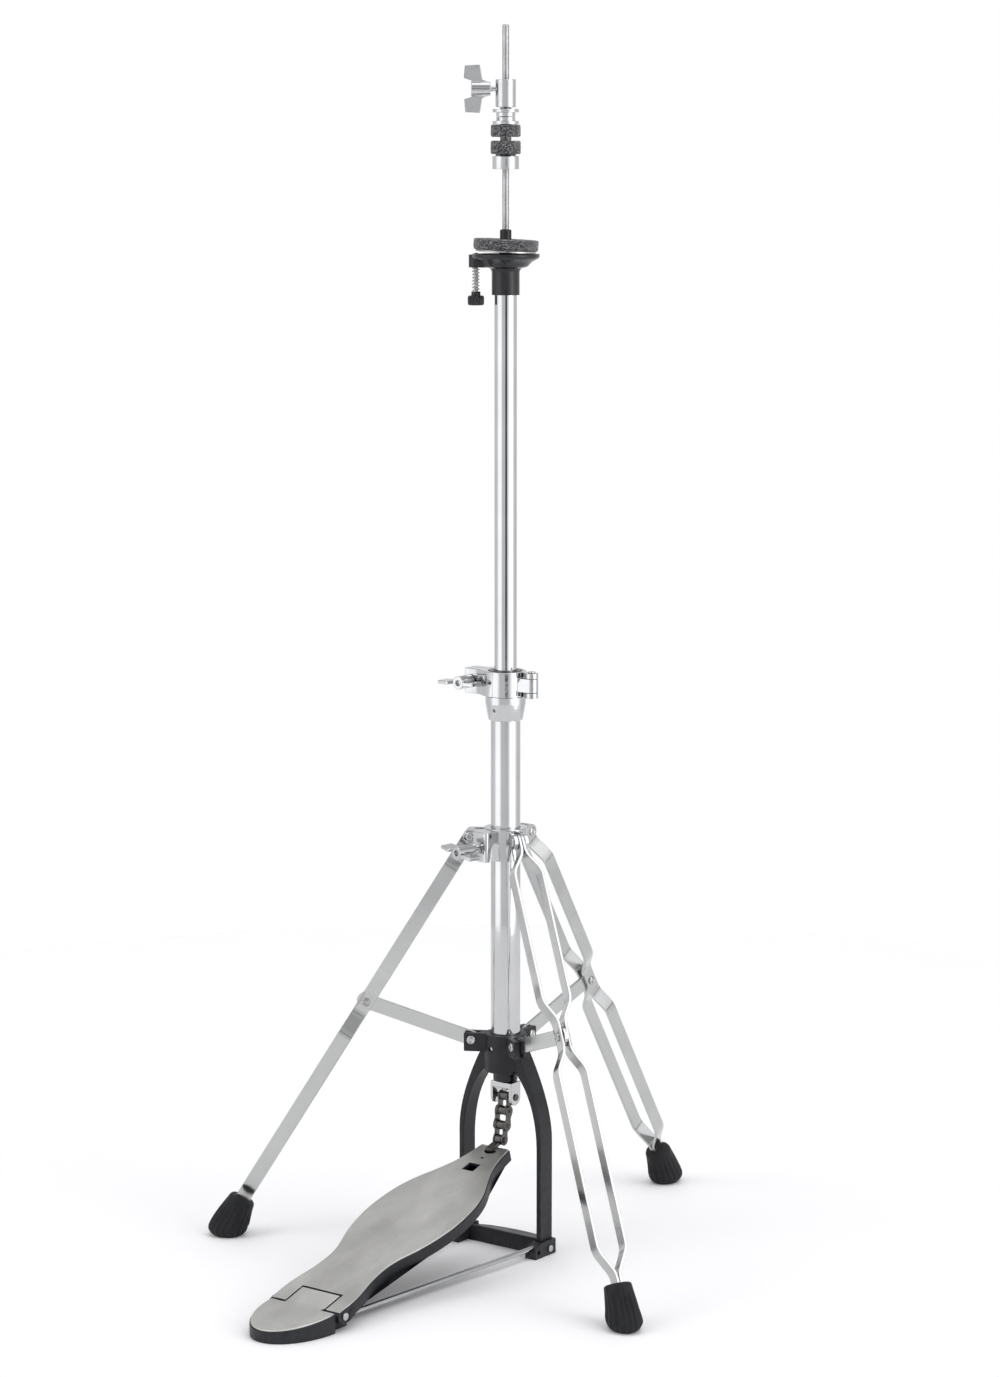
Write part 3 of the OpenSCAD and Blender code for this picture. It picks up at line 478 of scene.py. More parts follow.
class Shape:
    """A geometry node tree with named inputs, which ends in Realize Instances and Set Material."""

    def __init__(self, name, **inputs):
        self.tree = bpy.data.node_groups.new(name, "GeometryNodeTree")
        self.tree.interface.new_socket("Geometry", in_out="INPUT", socket_type="NodeSocketGeometry")
        self.tree.interface.new_socket("Geometry", in_out="OUTPUT", socket_type="NodeSocketGeometry")
        self.keys = {}
        kinds = {float: "NodeSocketFloat", int: "NodeSocketInt", str: "NodeSocketObject"}
        for label, kind in inputs.items():
            socket = self.tree.interface.new_socket(label, in_out="INPUT", socket_type=kinds[kind])
            self.keys[label] = socket.identifier
        socket = self.tree.interface.new_socket("Finish", in_out="INPUT", socket_type="NodeSocketMaterial")
        self.keys["Finish"] = socket.identifier
        self.start = self.tree.nodes.new("NodeGroupInput")

    def input(self, label):
        """The output of the group input with that name."""
        return self.start.outputs[label]

    def add(self, kind, inputs=None, **settings):
        """A node in this tree."""
        return add_node(self.tree, kind, inputs, **settings)

    def maths(self, operation, first, second=0.0):
        """One Math node."""
        return self.add("ShaderNodeMath", {0: first, 1: second}, operation=operation).outputs[0]

    def end(self, geometry):
        """Realizes, gives the material and closes the tree."""
        real = self.add("GeometryNodeRealizeInstances", {0: geometry}).outputs[0]
        made = self.add("GeometryNodeSetMaterial", {"Geometry": real, "Material": self.input("Finish")}).outputs[0]
        out = self.tree.nodes.new("NodeGroupOutput")
        self.tree.links.new(made, out.inputs[0])
        return self

    def build(self, name, slot, host=None, place=None, **values):
        """Runs the tree on a host mesh and gives the plain mesh it makes, in its place and in metres."""
        host_object = bpy.data.objects.new(name + "_host", host or bpy.data.meshes.new(name + "_host"))
        bpy.context.scene.collection.objects.link(host_object)
        modifier = host_object.modifiers.new("Shape", "NODES")
        modifier.node_group = self.tree
        modifier[self.keys["Finish"]] = finishes()[slot]
        for label, value in values.items():
            modifier[self.keys[label]] = value
        bpy.context.view_layer.update()
        graph = bpy.context.evaluated_depsgraph_get()
        mesh = bpy.data.meshes.new_from_object(host_object.evaluated_get(graph), depsgraph=graph)
        host_object.modifiers.remove(modifier)
        bpy.data.objects.remove(host_object)
        mesh.name = name
        mesh.transform(Matrix.Scale(MM, 4) @ (place or Matrix.Identity(4)))
        return mesh


def coil_shape():
    """A coil spring of round wire that stands on z = 0, in millimetres."""
    s = Shape("Coil spring", **{"Coil Radius": float, "Wire Radius": float, "Height": float, "Turns": float})
    rise = s.maths("SUBTRACT", s.input("Height"), s.maths("MULTIPLY", s.input("Wire Radius"), 2))
    spiral = s.add("GeometryNodeCurveSpiral", {
        "Resolution": 28, "Rotations": s.input("Turns"), "Start Radius": s.input("Coil Radius"),
        "End Radius": s.input("Coil Radius"), "Height": rise})
    wire = s.add("GeometryNodeCurvePrimitiveCircle", {"Resolution": 12, "Radius": s.input("Wire Radius")})
    swept = s.add("GeometryNodeCurveToMesh", {
        "Curve": spiral.outputs[0], "Profile Curve": wire.outputs[0], "Fill Caps": True})
    lift = s.add("ShaderNodeCombineXYZ", {"Z": s.input("Wire Radius")}).outputs[0]
    moved = s.add("GeometryNodeTransform", {"Geometry": swept.outputs[0], "Translation": lift})
    return s.end(moved.outputs[0])


def thread_shape():
    """A rod with a rolled thread and a rounded top, from z = 0 up, in millimetres."""
    s = Shape("Threaded rod", **{"Radius": float, "Length": float, "Pitch": float, "Depth": float,
                                 "Nose": float, "Rows": int, "Around": int})
    grid = s.add("GeometryNodeMeshGrid", {"Size X": 1.0, "Size Y": 1.0, "Vertices X": s.input("Around"),
                                          "Vertices Y": s.input("Rows")})
    place = s.add("ShaderNodeSeparateXYZ", {0: s.add("GeometryNodeInputPosition").outputs[0]})
    turn = s.maths("ADD", place.outputs[0], 0.5)
    share = s.maths("ADD", place.outputs[1], 0.5)
    angle = s.maths("MULTIPLY", turn, 2 * math.pi)
    height = s.maths("MULTIPLY", share, s.input("Length"))
    phase = s.maths("FRACT", s.maths("SUBTRACT", s.maths("DIVIDE", height, s.input("Pitch")), turn))
    groove = s.maths("ABSOLUTE", s.maths("SUBTRACT", s.maths("MULTIPLY", phase, 2), 1))
    radius = s.maths("SUBTRACT", s.input("Radius"), s.maths("MULTIPLY", groove, s.input("Depth")))
    below = s.maths("SUBTRACT", s.input("Length"), height)
    nose = s.maths("SUBTRACT", 1, s.maths("MINIMUM", s.maths("DIVIDE", below, s.input("Nose")), 1))
    round_off = s.maths("SQRT", s.maths("SUBTRACT", 1, s.maths("MULTIPLY", nose, nose)))
    inside = s.maths("GREATER_THAN", share, 0.00001)
    radius = s.maths("MULTIPLY", s.maths("MULTIPLY", radius, round_off), inside)
    across = s.maths("MULTIPLY", radius, s.maths("COSINE", angle))
    along = s.maths("MULTIPLY", radius, s.maths("SINE", angle))
    point = s.add("ShaderNodeCombineXYZ", {0: across, 1: along, 2: height}).outputs[0]
    wrapped = s.add("GeometryNodeSetPosition", {"Geometry": grid.outputs[0], "Position": point})
    closed = s.add("GeometryNodeMergeByDistance", {"Geometry": wrapped.outputs[0], "Distance": 0.002})
    return s.end(closed.outputs[0])


def repeat_shape():
    """One part at each point of the host, turned so that its z axis points along the host's facing."""
    s = Shape("Repeated part", Part=str)
    facing = s.add("GeometryNodeInputNamedAttribute", {"Name": "facing"}, data_type="FLOAT_VECTOR").outputs[0]
    turn = s.add("FunctionNodeAlignRotationToVector", {"Vector": facing}, axis="Z").outputs[0]
    part = s.add("GeometryNodeObjectInfo", {"Object": s.input("Part")}).outputs["Geometry"]
    copies = s.add("GeometryNodeInstanceOnPoints", {
        "Points": s.input("Geometry"), "Instance": part, "Rotation": turn})
    return s.end(copies.outputs[0])


def nap_shape():
    """Short loose fibres on the host's surface, leaning at random."""
    s = Shape("Felt nap", Density=float, Length=float, Thickness=float, Seed=int)
    points = s.add("GeometryNodeDistributePointsOnFaces", {
        "Mesh": s.input("Geometry"), "Density": s.input("Density"), "Seed": s.input("Seed")})
    fibre = s.add("GeometryNodeMeshCone", {
        "Vertices": 3, "Radius Top": 0.0, "Radius Bottom": s.input("Thickness"), "Depth": s.input("Length")})
    sunk = s.add("ShaderNodeCombineXYZ", {"Z": s.maths("MULTIPLY", s.input("Length"), -0.3)}).outputs[0]
    rooted = s.add("GeometryNodeTransform", {"Geometry": fibre.outputs[0], "Translation": sunk})
    lean = s.add("FunctionNodeRandomValue", {
        0: (-1.2, -1.2, 0.0), 1: (1.2, 1.2, 6.28), "Seed": s.input("Seed")},
        data_type="FLOAT_VECTOR").outputs[0]
    lean = s.add("FunctionNodeEulerToRotation", {0: lean}).outputs[0]
    turned_by = s.add("FunctionNodeRotateRotation", {
        "Rotation": points.outputs["Rotation"], "Rotate By": lean}, rotation_space="LOCAL").outputs[0]
    size = s.add("FunctionNodeRandomValue", {2: 0.4, 3: 1.0, "Seed": s.maths("ADD", s.input("Seed"), 5)},
                 data_type="FLOAT").outputs[1]
    copies = s.add("GeometryNodeInstanceOnPoints", {
        "Points": points.outputs["Points"], "Instance": rooted.outputs[0], "Rotation": turned_by,
        "Scale": size})
    return s.end(copies.outputs[0])


def repeated(name, bm, spots, body, slot, nodes, edge=0.0, place=None, crease=35.0):
    """A part drawn in bm, repeated at spots of (point, facing) in millimetres, as one piece."""
    part_mesh = mesh_from(bm, name + "_part", scale=1.0)
    part = bpy.data.objects.new(name + "_part", part_mesh)
    bpy.context.scene.collection.objects.link(part)
    host = bpy.data.meshes.new(name + "_spots")
    host.from_pydata([spot for spot, _ in spots], [], [])
    facing = host.attributes.new("facing", "FLOAT_VECTOR", "POINT")
    for index, (_, way) in enumerate(spots):
        facing.data[index].vector = way
    mesh = repeat_shape().build(name, slot, host, place, Part=part)
    bpy.data.objects.remove(part)
    return new_piece(name, mesh, body, slot, nodes, edge, place, crease)


def nap(name, felt_piece, node, density, seed):
    """Loose fibres over a felt, as a piece of its own on the same body."""
    graph = bpy.context.evaluated_depsgraph_get()
    host = bpy.data.meshes.new_from_object(felt_piece.evaluated_get(graph), depsgraph=graph)
    host.transform(Matrix.Scale(1 / MM, 4))
    mesh = nap_shape().build(name, "felt", host, None, Density=density, Seed=seed,
                             Length=sizes().nap_length / MM, Thickness=0.07)
    return new_piece(name, mesh, BODY[node], "felt", [])


# Profiles


def rivet_head(radius, height):
    """A domed rivet head on z = 0 with a shallow turned ring, as an open profile."""
    return [(0, -0.6), (radius, -0.6), (radius, 0.35 * height), (0.93 * radius, 0.62 * height),
            (0.78 * radius, 0.86 * height), (0.6 * radius, height), (0.5 * radius, height),
            (0.44 * radius, 0.84 * height), (0.2 * radius, 0.86 * height), (0, 0.88 * height)]


def felt_piece(name, node, outer, inner, low, high, place):
    """A felt ring with a crowned edge and a lumpy, matted surface."""
    bm = bmesh.new()
    middle, half = (low + high) / 2, (high - low) / 2
    corner, crown, chamfer = 1.1, 0.12, 0.6
    quarter = [math.pi / 2 * k / 3 for k in range(4)]
    steps = [(outer - inner - 2) * k / 6 for k in range(1, 6)]
    profile = [(inner, middle - half * 0.8), (inner + chamfer, low)]
    profile += [(inner + chamfer + step, low) for step in steps]
    profile += [(outer - corner + corner * math.sin(a), middle - (half - corner + corner * math.cos(a)))
                for a in quarter]
    profile += [(outer + crown, middle + half * k) for k in (-0.5, -0.2, 0.2, 0.5)]
    profile += [(outer - corner + corner * math.cos(a), middle + (half - corner + corner * math.sin(a)))
                for a in quarter]
    profile += [(outer - corner - step, high) for step in steps]
    profile += [(inner + chamfer, high), (inner, middle + half * 0.8)]
    lathe(bm, profile, None, True, 160)
    lump = bpy.data.textures.get("felt lumps") or bpy.data.textures.new("felt lumps", "CLOUDS")
    lump.noise_scale = 0.0022
    mesh = mesh_from(bm, name, place)
    piece = new_piece(name, mesh, BODY[node], "felt", [node], 0.0, place, crease=180)
    rough = piece.modifiers.new("Matted surface", "DISPLACE")
    rough.texture = lump
    rough.texture_coords = "LOCAL"
    rough.strength = 0.0007
    rough.mid_level = 0.62
    return piece


# Operators


class HatStandBuild:
    """What every building operator shares."""

    bl_options = {"REGISTER", "UNDO"}

    def execute(self, context):
        self.make(context)
        return {"FINISHED"}


class HATSTAND_OT_stage(HatStandBuild, bpy.types.Operator):
    """Pale floor, studio surroundings, lights and camera"""

    bl_idname = "hatstand.stage"
    bl_label = "Stage, lights and camera"

    def make(self, context):
        scene = context.scene
        scene.view_settings.view_transform = "Standard"
        scene.view_settings.look = "None"
        mesh = bpy.data.meshes.new("floor")
        rim = [(FLOOR_RADIUS * math.cos(a), FLOOR_RADIUS * math.sin(a), 0)
               for a in (2 * math.pi * step / FLOOR_SIDES for step in range(FLOOR_SIDES))]
        mesh.from_pydata(rim, [], [tuple(range(FLOOR_SIDES))])
        floor = bpy.data.objects.new("floor", mesh)
        scene.collection.objects.link(floor)
        f = Finish("pale floor")
        f.grain = f.add("ShaderNodeTexCoord").outputs["Object"]
        pale = f.blend(f.span(f.noise(3, 3), 0, 1), (0.93, 0.93, 0.93), (0.95, 0.95, 0.95))
        mesh.materials.append(f.done(pale, f.span(f.noise(9, 3), 0.7, 0.8)))
        self.surroundings(scene)
        for lamp in LAMPS:
            self.lamp(*lamp)
        camera = bpy.data.objects.new("camera", bpy.data.cameras.new("camera"))
        camera.location = CAMERA_SPOT
        camera.rotation_euler = (math.radians(90 - CAMERA_DIP), 0, math.radians(CAMERA_TURN))
        camera.data.lens = CAMERA_LENS
        camera.data.sensor_width = 36
        camera.data.clip_end = 100
        scene.collection.objects.link(camera)
        scene.camera = camera

    def surroundings(self, scene):
        """White for the camera; soft boxes and grey walls, by direction, for reflections."""
        world = bpy.data.worlds.new("studio")
        scene.world = world
        world.use_nodes = True
        tree = world.node_tree
        tree.nodes.clear()

        def add(kind, inputs=None, **settings):
            return add_node(tree, kind, inputs, **settings)

        def maths(operation, first, second=0.0):
            return add("ShaderNodeMath", {0: first, 1: second}, operation=operation).outputs[0]

        def ramp(value, stops):
            made = add("ShaderNodeValToRGB", {0: value})
            made.color_ramp.interpolation = "EASE"
            elements = made.color_ramp.elements
            elements[0].position, elements[1].position = stops[0][0], stops[-1][0]
            for where, _ in stops[1:-1]:
                elements.new(where)
            for index, (_, level) in enumerate(stops):
                elements[index].color = (level, level, level * 1.01, 1)
            return made.outputs[0]

        way = add("ShaderNodeSeparateXYZ", {0: add("ShaderNodeTexCoord").outputs["Generated"]})
        turn = math.radians(CAMERA_TURN)
        toward = maths("ADD", maths("MULTIPLY", way.outputs[0], math.sin(turn)),
                       maths("MULTIPLY", way.outputs[1], -math.cos(turn)))
        right = maths("ADD", maths("MULTIPLY", way.outputs[0], math.cos(turn)),
                      maths("MULTIPLY", way.outputs[1], math.sin(turn)))
        compass = maths("ADD", maths("DIVIDE", maths("ARCTAN2", right, toward), 2 * math.pi), 0.5)

        def at(degrees):
            return 0.5 + degrees / 360

        walls = ramp(compass, [(0.0, 1.0), (at(-122), 0.85), (at(-98), 0.95), (at(-72), 1.75),
                               (at(-50), 1.75), (at(-30), 0.84), (at(16), 0.80), (at(38), 1.75),
                               (at(50), 3.4), (at(60), 3.4), (at(74), 1.75), (at(100), 0.9),
                               (at(124), 0.82), (1.0, 1.0)])
        height = maths("ADD", maths("MULTIPLY", way.outputs[2], 0.5), 0.5)
        dome = ramp(height, [(0.0, 0.95), (0.44, 1.0), (0.519, 1.0), (0.524, 0.18), (0.552, 0.18),
                             (0.562, 0.9), (0.64, 0.8), (0.80, 0.6), (1.0, 0.9)])
        across = ramp(compass, [(at(-5), 0.0), (at(-2), 1.0), (at(12), 1.0), (at(15), 0.0)])
        upright = ramp(height, [(0.40, 0.0), (0.422, 0.0), (0.430, 1.0), (0.490, 1.0), (0.499, 0.0)])
        strip = maths("MULTIPLY", across, upright)
        room = add("ShaderNodeMix", {0: 1.0, 6: walls, 7: dome}, data_type="RGBA",
                   blend_type="MULTIPLY").outputs[2]
        screened = add("ShaderNodeMix", {0: strip, 6: room, 7: (0.05, 0.05, 0.05)},
                       data_type="RGBA").outputs[2]
        seen = add("ShaderNodeBackground", {"Color": (1, 1, 1), "Strength": 1.0}).outputs[0]
        lit = add("ShaderNodeBackground", {"Color": screened, "Strength": 1.0}).outputs[0]
        ray = add("ShaderNodeLightPath").outputs["Is Camera Ray"]
        shown = add("ShaderNodeMixShader", {0: ray, 1: lit, 2: seen}).outputs[0]
        add("ShaderNodeOutputWorld", {0: shown})

    def lamp(self, name, where, target, size, power):
        """One soft rectangular light that looks at a point."""
        data = bpy.data.lights.new(name, "AREA")
        data.shape = "RECTANGLE"
        data.size, data.size_y = size
        data.energy = power
        light = bpy.data.objects.new(name, data)
        light.location = where
        light.rotation_euler = (Vector(target) - Vector(where)).to_track_quat("-Z", "Y").to_euler()
        bpy.context.scene.collection.objects.link(light)


class HATSTAND_OT_tubes(HatStandBuild, bpy.types.Operator):
    """The two chromed tubes, the collar and the bushes between them"""

    bl_idname = "hatstand.tubes"
    bl_label = "Tubes"

    def make(self, context):
        turned_piece("lower_tube_chromed", ring_profile(12.7, 11.2, 158.2, 499), "lower_tube",
                     "tube_chrome", segments=144)
        turned_piece("upper_tube_chromed", ring_profile(9.525, 8.025, 425, 838), "upper_tube",
                     "tube_chrome", segments=144)
        finished_node("tube_collar", "fitting_chrome", sizes().strap_edge)
        sleeve = [(9.58, 460), (11.2, 460), (11.2, 499.02), (14.6, 499.02), (14.6, 502.7),
                  (14.1, 503.4), (10.4, 503.4), (9.6, 502.6)]
        turned_piece("tube_bushing_moulded", sleeve, "tube_bushing", "black_nylon", segments=128)
        guide = [(3.08, 147), (9.6, 147), (10.5, 147.9), (10.5, 164), (3.08, 164)]
        turned_piece("rod_bush_moulded", guide, "rod_bush", "black_nylon")


class HATSTAND_OT_clamp(HatStandBuild, bpy.types.Operator):
    """The hinged height clamp with its bolt and wing nut"""

    bl_idname = "hatstand.clamp"
    bl_label = "Height clamp"

    def make(self, context):
        edge = sizes().chrome_edge
        finished_node("clamp_body", "fitting_chrome", edge)
        finished_node("clamp_jaw", "fitting_chrome", edge)
        finished_node("clamp_bolt", "fastener_steel", 0.3 * MM)
        finished_node("clamp_hinge_pin", "fastener_steel", 0.3 * MM)
        finished_node("clamp_wing_nut", "fitting_chrome", 0.6 * MM)


class HATSTAND_OT_collar(HatStandBuild, bpy.types.Operator):
    """The sliding leg collar with its wing screw"""

    bl_idname = "hatstand.collar"
    bl_label = "Leg collar"

    def make(self, context):
        finished_node("leg_collar", "fitting_chrome", sizes().chrome_edge)
        finished_node("collar_wing_screw", "fitting_chrome", 0.6 * MM)


class HATSTAND_OT_legs(HatStandBuild, bpy.types.Operator):
    """The three double legs and their stretchers"""

    bl_idname = "hatstand.legs"
    bl_label = "Legs and stretchers"

    def make(self, context):
        for side, angle in LEGS.items():
            edge = sizes().strap_edge
            finished_node(f"leg_{side}", "strap_chrome", edge, leg_place(angle), crease=30)
            finished_node(f"stretcher_{side}", "strap_chrome", edge, stretcher_place(angle))


class HATSTAND_OT_rivets(HatStandBuild, bpy.types.Operator):
    """Rivets of the collar, the knees and the hub, and the small screws"""

    bl_idname = "hatstand.rivets"
    bl_label = "Rivets and screws"

    def make(self, context):
        shank = 2.5
        for node, (radius, height), reach, head in (("leg_pivot_pins", COLLAR_PIVOT, 6.5, 3.9),
                                                    ("hub_pins", HUB_PIVOT, 7.0, 3.8)):
            spots = []
            for angle in LEGS.values():
                turn = Matrix.Rotation(math.radians(angle), 4, "Z")
                for side in (-1, 1):
                    spots.append((turn @ Vector((radius, side * reach, height)), turn @ (side * AXIS_Y)))
            bm = bmesh.new()
            profile = [(0, -reach), (shank, -reach), (shank, -0.6)] + rivet_head(head, 1.4)[1:]
            lathe(bm, profile, None, False, 40)
            repeated(node + "_heads", bm, spots, BODY[node], "fastener_steel", [node], crease=60)
        for side, angle in LEGS.items():
            place = leg_place(angle)
            spots = [(Vector((KNEE_LENGTH, way * KNEE_FACE, 0)), way * AXIS_Y) for way in (-1, 1)]
            bm = bmesh.new()
            lathe(bm, rivet_head(3.75, 1.5), None, False, 40)
            repeated(f"knee_rivet_{side}", bm, spots, f"leg_{side}", "fastener_steel", [], place=place,
                     crease=60)
        finished_node("small_screws", "fitting_chrome", 0.35 * MM)


def foot_shape(bm, ribs, depth):
    """A leaning, flared and ribbed foot in its leg's upright plane, x outwards."""
    radius = COLLAR_PIVOT[0] + FOOT_START * math.sin(LEG_TILT)
    height = COLLAR_PIVOT[1] - FOOT_START * math.cos(LEG_TILT)
    rim_height, narrowing = 8.5, 0.16
    top, rim = Vector((radius, 0, height)), Vector((radius + 13.3, 0, rim_height))
    # From the top to the rim: share of the way down, radius, share of the ribs' depth
    stations = [(0.0, 9.6, 0.0), (0.02, 11.0, 0.0), (0.07, 11.7, 0.0), (0.16, 12.2, 0.15),
                (0.28, 12.9, 0.45), (0.42, 13.8, 0.75), (0.56, 14.8, 0.95), (0.7, 15.8, 1.0),
                (0.84, 16.8, 1.0), (0.94, 17.4, 1.0), (1.0, 17.6, 1.0)]
    # From the rim to the floor: height, radius, share of the ribs' depth
    tread = [(6.6, 17.4, 1.0), (4.8, 16.7, 0.9), (3.2, 15.7, 0.7), (1.8, 14.4, 0.45), (0.7, 12.9, 0.2),
             (0.02, 11.4, 0.0)]
    rings = [(top.lerp(rim, t), FOOT_LEAN * (1 - t * t), r, groove) for t, r, groove in stations]
    rings += [(Vector((radius + 13.6, 0, z)), 0.0, r, groove) for z, r, groove in tread]
    count = ribs * 10
    loops = []
    for centre, lean, r, groove in rings:
        out = Vector((math.cos(lean), 0, math.sin(lean)))
        fall = (height - centre.z) / (height - rim_height)
        loop = []
        for step in range(count):
            turn = 2 * math.pi * step / count
            reach = r - depth * groove * (0.5 - 0.5 * math.cos(ribs * turn)) ** 1.5
            across = reach * (1 - narrowing * min(1.0, fall * 1.4))
            loop.append(bm.verts.new(centre + out * reach * math.cos(turn) + AXIS_Y * across * math.sin(turn)))
        loops.append(loop)
    for low, high in zip(loops, loops[1:]):
        for step in range(count):
            after = (step + 1) % count
            bm.faces.new([low[step], low[after], high[after], high[step]])
    bm.faces.new(loops[0])
    bm.faces.new(loops[-1])


class HATSTAND_OT_feet(HatStandBuild, bpy.types.Operator):
    """The ribbed rubber feet"""

    bl_idname = "hatstand.feet"
    bl_label = "Rubber feet"

    def make(self, context):
        for side, angle in LEGS.items():
            bm = bmesh.new()
            foot_shape(bm, sizes().foot_ribs, sizes().foot_rib_depth / MM)
            place = Matrix.Rotation(math.radians(angle), 4, "Z")
            name = f"foot_{side}_ribbed"
            new_piece(name, mesh_from(bm, name, place), f"leg_{side}", "foot_rubber", [f"foot_{side}"],
                      0.0, place, crease=60)


class HATSTAND_OT_castings(HatStandBuild, bpy.types.Operator):
    """The black hub and arch casting, the base plate, the heel and the rods between them"""

    bl_idname = "hatstand.castings"
    bl_label = "Castings and base"

    def make(self, context):
        edge = sizes().casting_edge
        finished_node("arch_frame", "black_casting", edge)
        finished_node("base_plate", "black_casting", edge * 0.7)
        finished_node("heel_plate", "black_casting", edge * 0.8)
        finished_node("heel_top", "brushed_plate", 0.25 * MM)
        finished_node("base_rods", "fitting_chrome", 0.2 * MM)
        finished_node("bracket_bolts", "fastener_steel", 0.3 * MM)
        finished_node("hinge_axle", "fastener_steel", 0.4 * MM)


class HATSTAND_OT_pedal(HatStandBuild, bpy.types.Operator):
    """The footboard, its satin plate and the toe hook"""

    bl_idname = "hatstand.pedal"
    bl_label = "Footboard"

    def make(self, context):
        finished_node("footboard", "black_casting", 0.6 * MM, place=BOARD_PLACE)
        finished_node("footboard_plate", "brushed_plate", 0.25 * MM, place=BOARD_PLACE)
        finished_node("toe_hook", "chain_steel", 0.35 * MM, place=BOARD_PLACE)


def link_plate(bm, x, thickness):
    """One link plate in the chain's frame, with a waist, from the origin's pin down to the next."""
    end, waist = 4.6, 2.9
    outline = []
    for start, drop, side in ((-20, 0, -waist), (160, CHAIN_PITCH, waist)):
        for step in range(13):
            angle = math.radians(start + step * 220 / 12)
            outline.append((end * math.cos(angle), end * math.sin(angle) - drop))
        outline.append((side, -CHAIN_PITCH / 2))
    walls = [[bm.verts.new((x + t, y, z)) for y, z in outline] for t in (0, thickness)]
    bm.faces.new(walls[0])
    bm.faces.new(list(reversed(walls[1])))
    count = len(outline)
    for step in range(count):
        after = (step + 1) % count
        bm.faces.new([walls[0][step], walls[1][step], walls[1][after], walls[0][after]])


class HATSTAND_OT_chain(HatStandBuild, bpy.types.Operator):
    """The roller chain: plates, rollers and pins"""

    bl_idname = "hatstand.chain"
    bl_label = "Chain"

    def make(self, context):
        for name, node, places, links in (("chain_inner_links", "chain_inner_plates", (3.6, -5.0), (0, 2)),
                                          ("chain_outer_links", "chain_outer_plates", (5.1, -6.5), (1,))):
            bm = bmesh.new()
            for x in places:
                link_plate(bm, x, 1.4)
            spots = [(Vector((0, 0, -n * CHAIN_PITCH)), AXIS_Z) for n in links]
            piece = repeated(name, bm, spots, "chain", "chain_steel", [node], 0.3 * MM, CHAIN_PLACE)
            piece.modifiers["Soft edges"].use_clamp_overlap = False
        sideways = Matrix.Rotation(math.pi / 2, 4, "Y")
        roller = [(1.95, -3.5), (3.4, -3.5), (3.9, -3.1), (3.9, 3.1), (3.4, 3.5), (1.95, 3.5)]
        pin = [(0, -7.2), (1.3, -7.2), (1.9, -6.7), (1.9, 6.7), (1.3, 7.2), (0, 7.2)]
        toe_pin = [(0, -6.3), (2.3, -6.3), (2.8, -5.9), (2.8, -5.05), (1.9, -5.05), (1.9, 5.05),
                   (2.8, 5.05), (2.8, 5.9), (2.3, 6.3), (0, 6.3)]
        for name, node, profile, ring, sides, places in (
                ("chain_rollers_turned", "chain_rollers", roller, True, 40, (0, 1, 2)),
                ("chain_pins_peened", "chain_pins", pin, False, 28, (1, 2)),
                ("chain_toe_pin", "chain_pins", toe_pin, False, 28, (3,))):
            bm = bmesh.new()
            lathe(bm, profile, sideways, ring, sides)
            spots = [(Vector((0, 0, -n * CHAIN_PITCH)), AXIS_Z) for n in places]
            repeated(name, bm, spots, "chain", "chain_steel", [node], 0.0, CHAIN_PLACE, 40)


class HATSTAND_OT_pull_rod(HatStandBuild, bpy.types.Operator):
    """The threaded pull rod, its clevis and the return spring inside the tube"""

    bl_idname = "hatstand.pull_rod"
    bl_label = "Pull rod"

    def make(self, context):
        pitch, depth = sizes().thread_pitch / MM, sizes().thread_depth / MM
        foot, joint, start, top = 138.0, 340.0, 680.0, 1040.6
        plain = [(0, joint), (ROD_RADIUS, joint), (ROD_RADIUS, start + 0.2), (0, start + 0.2)]
        turned_piece("upper_rod_plain", plain, "upper_rod", "rod_steel", closed=False, segments=32)
        length = top - start
        mesh = thread_shape().build("upper_rod_threaded", "rod_steel", None,
                                    Matrix.Translation((0, 0, start)), Radius=ROD_RADIUS, Length=length,
                                    Pitch=pitch, Depth=depth, Nose=1.6, Rows=int(length / pitch * 5),
                                    Around=25)
        new_piece("upper_rod_threaded", mesh, "pull_rod", "rod_steel", ["upper_rod"], crease=180)
        lower = [(0, foot), (2.4, foot), (ROD_RADIUS, foot + 0.6), (ROD_RADIUS, joint - 0.05),
                 (0, joint - 0.05)]
        turned_piece("lower_rod_turned", lower, "lower_rod", "rod_steel", closed=False, segments=32)
        finished_node("rod_coupler", "coupler_brass", 0.4 * MM)
        finished_node("rod_clevis", "fitting_chrome", 0.7 * MM)
        finished_node("clevis_pin", "chain_steel", 0.3 * MM)
        finished_node("spring_collar", "spring_steel", 0.4 * MM)
        mesh = coil_shape().build("return_spring_coil", "spring_steel", None,
                                  Matrix.Translation((0, 0, SPRING_FOOT)),
                                  **{"Coil Radius": 7.6, "Wire Radius": 0.9, "Height": 86.0, "Turns": 9.0})
        # The coil stays on its bush: riding the rod, it would come out under the hub
        new_piece("return_spring_coil", mesh, "frame", "spring_steel", ["return_spring"], crease=180)


